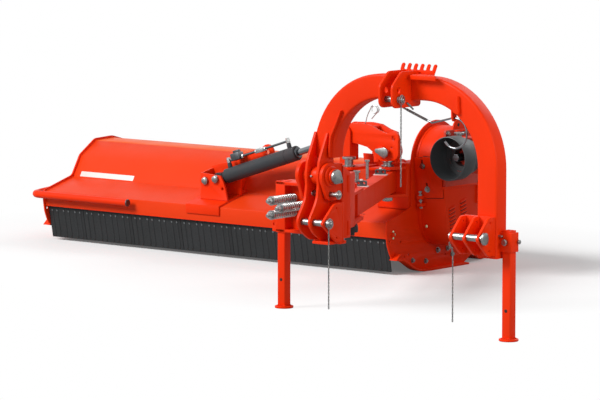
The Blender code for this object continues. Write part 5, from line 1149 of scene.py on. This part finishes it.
def rocker():
    px, pz = ROCKER
    lobe = arc(ROCKER, 0.042, 200, 270, 8) + arc((px + 0.048, pz + 0.002), 0.038, 275, 355, 8)
    lobe += arc((px + 0.059, pz + 0.064), 0.029, -20, 110, 10)
    outline = [(px + 0.020, pz + 0.083), (px - 0.022, pz + 0.094), (px - 0.066, pz + 0.113),
               (px - 0.120, pz + 0.119)]
    outline += arc((TILT_TOP.x, TILT_TOP.z), 0.041, 80, 250, 16)
    outline += [(px - 0.142, pz + 0.027), (px - 0.087, pz + 0.016)]
    holes = (circle(ROCKER, 0.0268, 32), circle((px + 0.059, pz + 0.064), 0.011),
             circle((px + 0.049, pz + 0.022), 0.005, 12))
    shapes = [slab("y", -0.124, -0.112, lobe + outline, holes),
              slab("y", -0.046, -0.034, arc(ROCKER, 0.042, 200, 380, 16) + outline, holes[:1])]
    shapes.append(bar((1.740, -0.115, pz + 0.098), (1.800, -0.040, pz + 0.106)))
    shapes.append(pin((1.760, -0.115, 0.620), (1.760, -0.040, 0.620), 0.012))
    dress("rocker_plates", shapes, COAT, "rocker", "rocker_arm")
    bolt = [pin((TILT_TOP.x, -0.130, TILT_TOP.z), (TILT_TOP.x, -0.028, TILT_TOP.z), 0.0125, 0.002)]
    bolt.append(ring((TILT_TOP.x, -0.1285, TILT_TOP.z), (TILT_TOP.x, -0.1245, TILT_TOP.z), 0.019, 0.012))
    dress("rocker_bolt", bolt, ZINC, "rocker", slot="rocker_arm")
    shank = pin((px, -0.140, pz), (px, -0.085, pz), 0.0118)
    flag = slab("y", -0.149, -0.1375, teardrop((px + 0.022, pz), 0.0225, 0.040, 172), (), 0.002)
    dress("rocker_pivot", [shank, flag], ZINC, "carrier", "rocker_pin")
    soften("tilt_link", COAT, "link", cuts=[((1.600, 0.010, 0.532), (1.760, 0.110, 0.700))])
    cheek = slab("y", -0.1365, -0.1270, arc((1.669, 0.640), 0.029, 0, 180, 14)
                 + [(1.640, 0.500), (1.702, 0.500), (1.698, 0.530)])
    shapes = [cheek, bar((1.628, -0.1075, 0.512), (1.680, -0.0505, 0.597)),
              bar((1.642, -0.1360, 0.520), (1.690, -0.100, 0.534))]
    dress("link_channel", shapes, COAT, "link", slot="tilt_link")
    x, y, z = 1.754, -0.100, pz + 0.1065
    points = [Vector((x, y, z)), Vector((x + 0.004, y, z + 0.014)), Vector((x + 0.0150, y, z + 0.050))]
    for step in range(32):
        angle = math.radians(180 - 20 * step)
        points.append(Vector((x + 0.048 + 0.0175 * math.cos(angle), y + 0.0006 * step,
                              z + 0.076 + 0.0175 * math.sin(angle))))
    points.append(Vector((x + 0.022, y + 0.020, z + 0.031)))
    dress("pigtail", [tube(smooth_line(points, 3), 0.0022, 3)], SPRING_WIRE, "rocker", "hose_guide", angle=60)


# Deck

def hood():
    seam = [(-0.045, 0.236), (0.151, 0.289), (0.209, 0.387), (0.315, 0.453), (0.435, 0.458), (0.560, 0.425)]
    # The hood shell wears the hood coat, whose flat top carries a painted sheen.
    soften("hood_shell", HOOD_COAT, "deck", 0.0022, 3)
    left, right = DECK_LEFT + 0.0085, DECK_RIGHT - 0.0085
    hem = bar((left, -0.0455, 0.1655), (right, -0.0405, 0.1690), 0.0008)
    dress("hood_hem", [hem], COAT, "deck", slot="hood_shell")
    welds("hood_end_welds", "deck", [
        [Vector((left + 0.0015, y, z + 0.001)) for y, z in seam],
        [Vector((right - 0.0015, y, z + 0.001)) for y, z in seam[:3]]], "hood_shell", 0.0026, 0.0032, COAT)
    # Painted shade: thin dark sheets on the hood's end stand for the shade inside two slots.
    slots = []
    for low, high in ((1.560, 1.612), (1.625, 1.652)):
        slots.append(slab("x", low, high, [(0.0300, 0.2563), (0.0336, 0.2573), (0.0335, 0.2580),
                                           (0.0298, 0.2570)], (), 0.0001))
    dress("hood_slots", slots, SHADE, "deck", slot="hood_shell")
    strip = slab("x", -0.185, 0.155, [(0.1535, 0.2932), (0.1670, 0.3160), (0.1663, 0.3164),
                                      (0.1528, 0.2936)], (), 0.0001)
    dress("blank_tape", [strip], TAPE, "deck", slot="hood_shell")


def end_plates():
    front = [(-0.052, 0.243), (-0.057, 0.198), (-0.048, 0.140), (-0.034, 0.105), (-0.016, 0.0735),
             (0.032, 0.0682), (0.0905, 0.0368), (0.132, 0.0176), (0.182, 0.0072), (0.230, 0.0045)]
    rear = [(0.519, 0.0045), (0.545, 0.018), (0.580, 0.038), (0.640, 0.047), (0.715, 0.049), (0.757, 0.068),
            (0.780, 0.110), (0.790, 0.190), (0.772, 0.256), (0.685, 0.358), (0.564, 0.434)]
    holes = [circle(ROTOR, ROTOR_BORE), circle(ROLLER, 0.0156)]
    left_top = [(0.437, 0.468), (0.311, 0.463), (0.202, 0.393), (0.145, 0.298)]
    small = [circle((y, z), radius, 12)
             for y, z, radius in ((-0.031, 0.154, 0.0065), (0.049, 0.146, 0.005), (0.108, 0.083, 0.005),
                                  (0.075, 0.0755, 0.0035), (0.380, 0.057, 0.0045), (0.480, 0.056, 0.0055),
                                  (0.525, 0.054, 0.0065))]
    plate = slab("x", DECK_LEFT, DECK_LEFT + 0.008, rounded(front + rear + left_top, 0.012), holes + small)
    housing = ring((DECK_LEFT - 0.030, *ROTOR), (DECK_LEFT + 0.002, *ROTOR), 0.055, ROTOR_BORE, 0.004, 40)
    dress("left_cheek", [plate, housing, skid(DECK_LEFT - 0.030, DECK_LEFT + 0.010)], COAT, "deck",
          "left_end_plate")
    arch = arc(COVER_UPPER, 0.185, 0, 180, 30) + [(0.125, 0.300), (0.100, 0.287)]
    plate = slab("x", DECK_RIGHT - 0.008, DECK_RIGHT, front + rear + [(0.500, 0.462)] + arch,
                 holes + small, 0.002)
    housing = ring((DECK_RIGHT - 0.002, *ROTOR), (DECK_RIGHT + 0.030, *ROTOR), 0.055, ROTOR_BORE, 0.004, 40)
    dress("right_cheek", [plate, housing, skid(DECK_RIGHT - 0.010, DECK_RIGHT + 0.030)], COAT, "deck",
          "right_end_plate")
    face = DECK_RIGHT
    spots = [((face, y, z), (1, 0, 0)) for y, z in ((0.134, 0.054), (0.231, 0.042), (0.430, 0.055))]
    spots += [((face, y, z), (1, 0, 0), 1.1) for y, z in ((0.320, 0.083), (0.396, 0.086))]
    bolts("right_cheek_bolts", "deck", spots, "right_end_plate")
    spots = [((DECK_LEFT, y, z), (-1, 0, 0))
             for y, z in ((0.134, 0.054), (0.231, 0.042), (0.430, 0.049), (0.66, 0.12), (0.74, 0.12))]
    spots += [((DECK_LEFT - 0.030, y, z), (-1, 0, 0), 0.8) for y, z in arc(ROTOR, 0.042, 30, 330, 5)]
    bolts("left_cheek_bolts", "deck", spots, "left_end_plate")
    heads = [((face + 0.002, y, z), (1, 0, 0), s) for y, z, s in
             ((-0.009, 0.196, 1.0), (0.000, 0.183, 1.1), (-0.009, 0.168, 0.9))]
    domes("flap_rod_heads", "deck", heads, "right_end_plate", PASSIVATED, 0.007, 0.6)
    boss = pin((face - 0.001, -0.016, 0.183), (face + 0.010, -0.016, 0.183), 0.010)
    plug = turned((face, 0.207, 0.193), (1, 0, 0), [(0, 0.010), (0.008, 0.010), (0.012, 0.007)], 20)
    dress("rod_boss", [boss], COAT, "deck", slot="right_end_plate")
    dress("pale_plug", [plug], PASSIVATED, "deck", slot="right_end_plate")


def skid(inner, outer):
    """Bent strip that an end plate slides on, its front end turned in."""
    strip = [(-0.024, 0.070), (0.002, 0.0655), (0.030, 0.064), (0.060, 0.050), (0.088, 0.033),
             (0.108, 0.0215), (0.130, 0.0125), (0.153, 0.006), (0.180, 0.002), (0.230, 0.0), (0.522, 0.0),
             (0.522, 0.008), (0.232, 0.008), (0.184, 0.010), (0.157, 0.0145), (0.134, 0.0205),
             (0.113, 0.0290), (0.093, 0.0405), (0.064, 0.0575), (0.034, 0.072), (0.012, 0.0745),
             (-0.010, 0.0765), (0.014, 0.0925), (0.008, 0.0975)]
    return slab("x", inner, outer, strip, (), 0.001)


def brackets():
    soften("cylinder_bracket", COAT, "deck", cuts=[((0.872, 0.083, 0.262), (0.990, 0.122, 0.420))])
    soften("tilt_hinge_bracket", COAT, "deck")
    flare = [(0, 0.0115), (0.0015, 0.0140), (0.004, 0.0150), (0.0045, 0.0182), (0.0155, 0.0182)]
    heads = [turned((x, -0.0015, z), (0, 1, 0), flare, 28) for x, z in ((0.792, 0.358), (0.730, 0.347))]
    dress("base_pin_heads", heads, ZINC, "deck", slot="cylinder_bracket")
    z = 0.2225
    run = [Vector((0.330, -0.0815, z)), Vector((-0.232, -0.0815, z))]
    run += [Vector((x, y, z)) for x, y in arc((-0.232, -0.0315), 0.050, -95, -175, 14)]
    run += [Vector((-0.282, -0.0215, z + 0.002)), Vector((-0.282, 0.225, z + 0.020))]
    shapes = [tube(run, 0.0175, 7)]
    shapes += [bar((x, -0.078, 0.1985), (x + 0.036, -0.0453, 0.2075)) for x in (-0.075, 0.212)]
    shapes.append(bar((-0.282, 0.165, 0.232), (-0.2353, 0.205, 0.242)))
    dress("guard_bar", shapes, COAT, "deck", "bumper_tube", angle=50)
    cap = turned((0.3295, -0.0815, z), (1, 0, 0), [(0, 0.0172), (0.003, 0.0172), (0.0045, 0.015)], 28)
    dress("guard_bar_cap", [cap], STEEL, "deck", slot="bumper_tube")
    bolts("guard_bar_bolts", "deck", [((x, -0.060, 0.2075), (0, 0, 1), 0.8) for x in (-0.057, 0.230)],
          "bumper_tube")
    seams = [[(0.699, 0.016, 0.2560), (0.699, 0.150, 0.2925), (0.699, 0.2085, 0.3900)],
             [(0.702, 0.0135, 0.2610), (0.860, 0.0135, 0.2610)],
             [(0.665, -0.0450, 0.2370), (0.665, 0.150, 0.2895)],
             [(0.867, -0.0450, 0.2370), (0.867, 0.150, 0.2895)],
             [(1.662, 0.1150, 0.2850), (1.832, 0.1150, 0.2850)]]
    welds("bracket_welds", "deck", seams, "cylinder_bracket", 0.0030, 0.0034)


def flaps():
    """Rubber panels with upright ribs in pairs, a row of pegs at the top end of the ribs and a row of holes
    drawn in painted shade at the low end.
    """
    drop = FLAP_FOOT - FLAP_AXIS
    along = drop.normalized()
    across = Vector((along.y, -along.x))
    front = across if across.x < 0 else -across
    for number in range(1, 8):
        left = FLAP_EDGES[number - 1] + 0.001
        right = FLAP_EDGES[number] - 0.001
        body, node = f"flap_{number}_panel", f"flap_{number}"
        corners = [FLAP_AXIS + across * 0.003, FLAP_AXIS - across * 0.003, FLAP_AXIS + drop - across * 0.003,
                   FLAP_AXIS + drop + across * 0.003]
        sheet = slab("x", left, right, [tuple(c) for c in corners], (), 0.001)
        bead = pin((left, *FLAP_AXIS), (right, *FLAP_AXIS), 0.006, 0.001, 20)
        pairs = max(1, round((right - left) / RIB_PAIR_PITCH))
        step = (right - left) / pairs
        middles = [left + step * (pair + 0.5) + offset
                   for pair in range(pairs) for offset in (-RIB_FROM_MIDDLE, RIB_FROM_MIDDLE)]
        ribs = []
        for middle in middles:
            first, last = FLAP_AXIS + along * 0.030, FLAP_AXIS + along * (drop.length - 0.014)
            outline = [first + front * 0.002, last + front * 0.002, last + front * 0.0044,
                       first + front * 0.0044]
            ribs.append(slab("x", middle - 0.0055, middle + 0.0055, [tuple(c) for c in outline], (), 0.0012))
        dress(f"flap_panel_{number}", [sheet, bead, *ribs], RUBBER, body, node)
        # The top row is moulded pegs; the low row is dark domes in painted shade that stand for holes.
        for label, depth, proud, radius, finish in (("top", 0.041, 0.0043, 0.0046, PEG),
                                                    ("low", drop.length - 0.0085, 0.0030, 0.0042, SHADE)):
            place = FLAP_AXIS + along * depth + front * proud
            spots = [((middle, *place), (0, *front)) for middle in middles]
            domes(f"flap_rivets_{label}_{number}", body, spots, node, finish, radius, 0.35)


def band(lower, upper):
    """Outline of a band round two circles, each given as centre and radius."""
    first, second = Vector(lower[:2]), Vector(upper[:2])
    run = second - first
    heading = math.degrees(math.atan2(run.y, run.x))
    lean = math.degrees(math.acos((lower[2] - upper[2]) / run.length))
    return (arc(first, lower[2], heading + lean, heading + 360 - lean, 30)
            + arc(second, upper[2], heading - lean, heading + lean, 30))


def belt_drive():
    low = DECK_RIGHT + 0.0003
    outer = band((*COVER_LOWER, 0.135), (*COVER_UPPER, 0.163))
    inner = band((*COVER_LOWER, 0.131), (*COVER_UPPER, 0.159))
    wall = slab("x", low, 1.998, outer, (inner,), 0.0006)
    face = slab("x", 1.9962, 2.000, outer, (circle(DRIVE, 0.030, 32),), 0.0015)
    dress("belt_housing", [wall, face], COAT, "deck", "belt_cover")
    rim = slab("x", low, low + 0.016, band((*COVER_LOWER, 0.1362), (*COVER_UPPER, 0.1655)),
               (band((*COVER_LOWER, 0.134), (*COVER_UPPER, 0.162)),), 0.0008)
    dress("belt_housing_rim", [rim], COAT, "deck", slot="belt_cover")
    cover_details()
    mesh = slab("x", 1.900, 1.955, band((*ROTOR, 0.0967), (*DRIVE, 0.1017)),
                (band((*ROTOR, 0.0867), (*DRIVE, 0.0917)),), 0.001)
    dress("belts", [mesh], RUBBER, "deck", "drive_belts")


def cover_details():
    """Adjusting plate with long holes, tensioner, louvres and flange on the belt cover, with painted shadows
    round the plate and under the louvres.
    """
    lean = (Matrix.Translation((0, 0.1445, 0.520)) @ Matrix.Rotation(math.radians(4.84), 4, "X")
            @ Matrix.Translation((0, 0, -0.520)))

    def leaned(*shapes):
        for shape in shapes:
            shape.transform(lean)
        return list(shapes)

    outline = [(1.8435, 0.516), (1.850, 0.440), (1.862, 0.341), (1.902, 0.337), (1.994, 0.343),
               (1.994, 0.522), (1.892, 0.522), (1.889, 0.516)]
    long_holes = [slot_outline((x, z), 0.013, 0.0048, 94) for x, z in ((1.8885, 0.492), (1.9095, 0.388))]
    dress("adjuster_plate", leaned(slab("y", -0.0065, 0, rounded(outline, 0.003), long_holes, 0.0012)), COAT,
          "deck", slot="belt_cover")
    # Painted shadow: a dark sheet a little larger than the adjusting plate lies behind it, so a dark line
    # shows round its edges.
    gap = [(1.8405, 0.514), (1.847, 0.440), (1.859, 0.3385), (1.902, 0.334), (1.994, 0.340), (1.994, 0.5245),
           (1.892, 0.5245), (1.887, 0.5185)]
    dress("adjuster_painted_shadow", leaned(slab("y", -0.0006, 0.0004, gap, (), 0.0001)), SHADE, "deck",
          slot="belt_cover")
    spots = [(lean @ Vector((x, -0.0065, z)), (0, -1, -0.085), 1.15)
             for x, z in ((1.8915, 0.480), (1.913, 0.377))]
    bolts("adjuster_bolts", "deck", spots, "belt_cover")
    domes("flank_plug", "deck", [((1.892, 0.1690, 0.208), (0, -1, -0.1))], "belt_cover",
          PASSIVATED, 0.0085, 0.6)
    lugs = [bar((1.863, -0.024, z - 0.007), (1.891, 0.004, z + 0.007), 0.0015) for z in (0.340, 0.306)]
    dress("tensioner_lugs", leaned(*lugs), COAT, "deck", slot="belt_cover")
    screw = [pin((1.877, -0.014, 0.288), (1.877, -0.014, 0.368), 0.004, 0.001, 16)]
    screw += [hexagon((1.877, -0.014, z), (0, 0, 1), 0.014, 0.006) for z in (0.348, 0.3215, 0.291, 0.362)]
    dress("tensioner_screw", leaned(*screw), ZINC, "deck", slot="belt_cover")
    louvres = []
    shadows = []
    for y0, z0, count in ((0.213, 0.294, 6), (0.296, 0.320, 5)):
        for k in range(count):
            y, z = y0 + 0.0022 * k, z0 - 0.0162 * k
            louvres.append(slab("x", 1.9990, 2.0062, slot_outline((y, z), 0.019, 0.0046, 14), (), 0.0028))
            # Painted shadow: a thin dark strip just below each louvre.
            shadows.append(slab("x", 1.9993, 2.0009,
                                slot_outline((y + 0.001, z - 0.0062), 0.020, 0.0026, 14), (), 0.0003))
    dress("louvres", louvres, COAT, "deck", slot="belt_cover")
    dress("louvre_painted_shadows", shadows, SHADE, "deck", slot="belt_cover")
    shelf = [bar((1.9995, 0.140, 0.384), (2.013, 0.440, 0.3945), 0.0015),
             bar((1.9995, 0.395, 0.300), (2.0065, 0.405, 0.386), 0.001)]
    dress("cover_flange", shelf, COAT, "deck", slot="belt_cover")
    crest = slab("x", 2.0003, 2.008, arc((0.262, 0.640), 0.052, 0, 180, 16), (), 0.0012)
    lip = bar((2.0003, 0.212, 0.636), (2.030, 0.312, 0.642), 0.0012)
    dress("crest_plate", [crest, lip], COAT, "deck", slot="belt_cover")
    # Painted shade: a thin dark disc stands for the shade inside the crest plate's hole.
    hole = slab("x", 2.0076, 2.0084, circle((0.250, 0.664), 0.008, 16), (), 0.0001)
    dress("crest_hole", [hole], SHADE, "deck", slot="belt_cover")


def gearbox():
    base = 2.0003
    mount = slab("x", base, base + 0.012, oblong(0.150, 0.405, 0.390, 0.645, 0.010), (), 0.0015)
    case = slab("y", 0.215, 0.350, rounded([(2.010, 0.455), (2.160, 0.455), (2.185, 0.480), (2.185, 0.590),
                                            (2.160, 0.615), (2.010, 0.615)], 0.012), (), 0.005)
    nose = ring((INPUT_X, 0.185, DRIVE[1]), (INPUT_X, 0.220, DRIVE[1]), 0.055, 0.018, 0.003, 40)
    shapes = [mount, case, nose]
    for z in (0.478, 0.505, 0.532, 0.559, 0.586):
        shapes.append(bar((2.060, 0.226, z - 0.003), (2.1868, 0.340, z + 0.003), 0.0012))
    dress("gear_case", shapes, CASTING, "deck", "gearbox")
    spots = [((base + 0.012, y, z), (1, 0, 0)) for y, z in ((0.165, 0.630), (0.390, 0.630), (0.280, 0.630))]
    spots += [((x, 0.350, z), (0, 1, 0), 0.85) for x, z in ((2.030, 0.472), (2.155, 0.472), (2.030, 0.598),
                                                            (2.155, 0.598))]
    bolts("gear_case_bolts", "deck", spots, "gearbox")
    plug = [hexagon((2.105, 0.300, 0.6135), (0, 0, 1), 0.019, 0.009)]
    dress("oil_plug", plug, ZINC, "deck", slot="gearbox")
    splines()
    guard()
    soften("drive_pulley", STEEL, "pulley", 0.002)


def splines():
    """Six-spline stub with a locking groove, and its pinion."""
    z, crest, root = DRIVE[1], 0.0175, 0.0148
    outline = []
    for k in range(6):
        for offset, radius in ((-17, crest), (-8, crest), (8, crest), (17, crest), (20, root), (40, root)):
            angle = math.radians(60 * k + offset)
            outline.append((INPUT_X + radius * math.cos(angle), z + radius * math.sin(angle)))
    shapes = [slab("y", 0.106, 0.180, outline, (), 0.0012),
              pin((INPUT_X, 0.178, z), (INPUT_X, 0.262, z), crest)]
    cone = turned((INPUT_X, 0.238, z), (0, 1, 0), [(0, 0.045), (0.002, 0.046), (0.022, 0.031),
                                                   (0.024, 0.029)], 32)
    dress("input_stub", shapes + [cone], STEEL, "input", "gearbox_input_shaft")


def guard():
    """Moulded cup round the stub with a rolled rim, a floor with six slots and a neck."""
    z, front, sides = DRIVE[1], 0.0455, 56
    profile = [(0.0, 0.094), (0.001, 0.0965), (0.004, 0.098), (0.070, 0.098), (0.082, 0.094), (0.100, 0.082),
               (0.139, 0.078), (0.139, 0.040), (0.103, 0.040), (0.103, 0.086), (0.075, 0.0925),
               (0.004, 0.0935)]

    def build(bm):
        rows = [[bm.verts.new((INPUT_X + r * math.cos(2 * math.pi * k / sides), front + d,
                               z + r * math.sin(2 * math.pi * k / sides))) for k in range(sides)]
                for d, r in profile]
        for index, row in enumerate(rows):
            following = rows[(index + 1) % len(rows)]
            for k in range(sides):
                bm.faces.new((row[k], row[(k + 1) % sides], following[(k + 1) % sides], following[k]))
        bmesh.ops.recalc_face_normals(bm, faces=bm.faces)

    shapes = [mesh_of(build), ring((INPUT_X, 0.1455, z), (INPUT_X, 0.1490, z), 0.064, 0.058, 0.001, 40)]
    dress("guard_cup", shapes, GUARD, "deck", "pto_guard", angle=40)
    slots, reach = [], 0.062
    for k in range(6):
        angle = 60 * k + 20
        centre = (INPUT_X + reach * math.cos(math.radians(angle)), z + reach * math.sin(math.radians(angle)))
        slots.append(slab("y", 0.1475, 0.1486, slot_outline(centre, 0.009, 0.0028, angle + 90), (), 0.0002))
    dress("guard_slots", slots, COAT, "deck", slot="pto_guard")
    knob = turned((2.075, 0.165, z + 0.0965), (0, 0, 1), [(-0.012, 0.012), (0.0, 0.012), (0.001, 0.021),
                                                          (0.003, 0.023), (0.010, 0.023), (0.012, 0.021)], 32)
    dress("guard_knob", [knob], ZINC, "deck", slot="pto_guard")


def rotor_and_roller():
    soften("rotor", STEEL, "rotor_unit", 0.0015)
    left, right = DECK_LEFT + 0.028, DECK_RIGHT - 0.028
    y, z = ROLLER
    drum = turned((left, y, z), (1, 0, 0), [(0, 0.070), (0.003, 0.0745), (0.006, 0.075),
                                            (right - left - 0.006, 0.075), (right - left - 0.003, 0.0745),
                                            (right - left, 0.070)], 64)
    axle = pin((DECK_LEFT - 0.004, y, z), (DECK_RIGHT + 0.004, y, z), 0.015)
    dress("roller_drum", [drum, axle], COAT, "roller", "rear_roller")


# Light, floor and camera

def stage():
    """White surround for the eye, a weaker fill for the shading, a floor that fades to white, three lamps."""
    world = bpy.context.scene.world or bpy.data.worlds.new("studio")
    bpy.context.scene.world = world
    world.use_nodes = True
    tree = world.node_tree
    tree.nodes.clear()
    rays = add(tree, "ShaderNodeLightPath").outputs
    seen = add(tree, "ShaderNodeMath", {0: rays["Is Camera Ray"], 1: rays["Is Glossy Ray"]},
               operation="MAXIMUM")
    seen = add(tree, "ShaderNodeMath", {0: seen.outputs[0], 1: rays["Is Transmission Ray"]},
               operation="MAXIMUM")
    fill = add(tree, "ShaderNodeBackground", {"Color": linear("#F6F7F8"), "Strength": 0.26})
    white = add(tree, "ShaderNodeBackground", {"Color": (1, 1, 1, 1), "Strength": 1.0})
    both = add(tree, "ShaderNodeMixShader", {0: seen.outputs[0], 1: fill.outputs[0], 2: white.outputs[0]})
    add(tree, "ShaderNodeOutputWorld", {"Surface": both.outputs[0]})

    def build(bm):
        bmesh.ops.create_grid(bm, x_segments=1, y_segments=1, size=40)

    floor = linked("floor", mesh_of(build))
    floor.location = (0, 0, -0.0005)
    material, tree = blank("studio_floor")
    rays = add(tree, "ShaderNodeLightPath").outputs
    paper = add(tree, "ShaderNodeBsdfDiffuse", {"Color": linear("#F2F2F2")})
    muted = add(tree, "ShaderNodeBsdfDiffuse", {"Color": linear("#B4B4B4")})
    glow = add(tree, "ShaderNodeEmission", {"Color": (1, 1, 1, 1), "Strength": 0.12})
    lifted = add(tree, "ShaderNodeAddShader", {0: paper.outputs[0], 1: glow.outputs[0]})
    place = add(tree, "ShaderNodeTexCoord").outputs["Object"]
    place = add(tree, "ShaderNodeMapping", {"Vector": place, "Location": (0.33, -0.65, 0.0),
                                            "Scale": (0.74, 1.0, 1.0)}).outputs[0]
    away = add(tree, "ShaderNodeVectorMath", {0: place}, operation="LENGTH").outputs["Value"]
    far = spread(tree, away, 0.0, 1.0, 1.0, 1.7)
    plain = add(tree, "ShaderNodeEmission", {"Color": (1, 1, 1, 1), "Strength": 1.0})
    seen = add(tree, "ShaderNodeMixShader", {0: far, 1: lifted.outputs[0], 2: plain.outputs[0]})
    close_up(tree, add(tree, "ShaderNodeMixShader", {0: rays["Is Camera Ray"], 1: muted.outputs[0],
                                                     2: seen.outputs[0]}))
    floor.data.materials.append(material)
    for name, place, size, power, target in (("key", (-6.2, -11.2, 9.4), 7.0, 2550, (0.0, 0.0, 0.3)),
                                             ("side", (3.3, -1.3, 1.35), 1.3, 19, (1.75, -0.9, 0.6)),
                                             ("back", (1.0, 6.0, 5.0), 4.0, 120, (0.0, 0.3, 0.3))):
        lamp = bpy.data.lights.new(name, "AREA")
        lamp.shape = "DISK"
        lamp.size = size
        lamp.energy = power
        item = linked(name, lamp)
        item.location = place
        item.rotation_euler = (Vector(target) - Vector(place)).to_track_quat("-Z", "Y").to_euler()


def camera():
    """Long lens, turned 39 degrees and looking slightly down."""
    lens = bpy.data.cameras.new("view")
    focal_pixels, photo_width = 3568.9, 600
    lens.sensor_width = 36.0
    lens.lens = focal_pixels / photo_width * lens.sensor_width
    lens.clip_end = 200
    item = linked("view", lens)
    yaw, pitch = math.radians(39.02), math.radians(6.53)
    direction = Vector((-math.sin(yaw) * math.cos(pitch), math.cos(yaw) * math.cos(pitch), -math.sin(pitch)))
    item.location = Vector((11.4051, -12.4648, 2.1352)) + SEAM
    item.rotation_euler = direction.to_track_quat("-Z", "Y").to_euler()
    bpy.context.scene.camera = item


def main():
    bpy.context.scene.view_settings.view_transform = "Standard"
    camera()
    chain("left_chain", "left_pin_chain", "left_pin", [(2.5545, LOWER_PIN[0], LOWER_PIN[1] - 0.0222)])
    chain("top_chain", "top_pin_chain", "top_pin", [(2.908, TOP_PIN[0], TOP_PIN[1] - 0.0207)])
    chain("right_chain", "right_pin_chain", "headstock", [(3.1535, -1.358, 0.383), (3.1535, -1.333, 0.353)])
    stage()
    headstock()
    pins()
    hook()
    stands()
    float_unit()
    arms()
    shift_cylinder()
    rocker()
    tilt_cylinder()
    hood()
    end_plates()
    brackets()
    flaps()
    belt_drive()
    gearbox()
    rotor_and_roller()
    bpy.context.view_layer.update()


main()
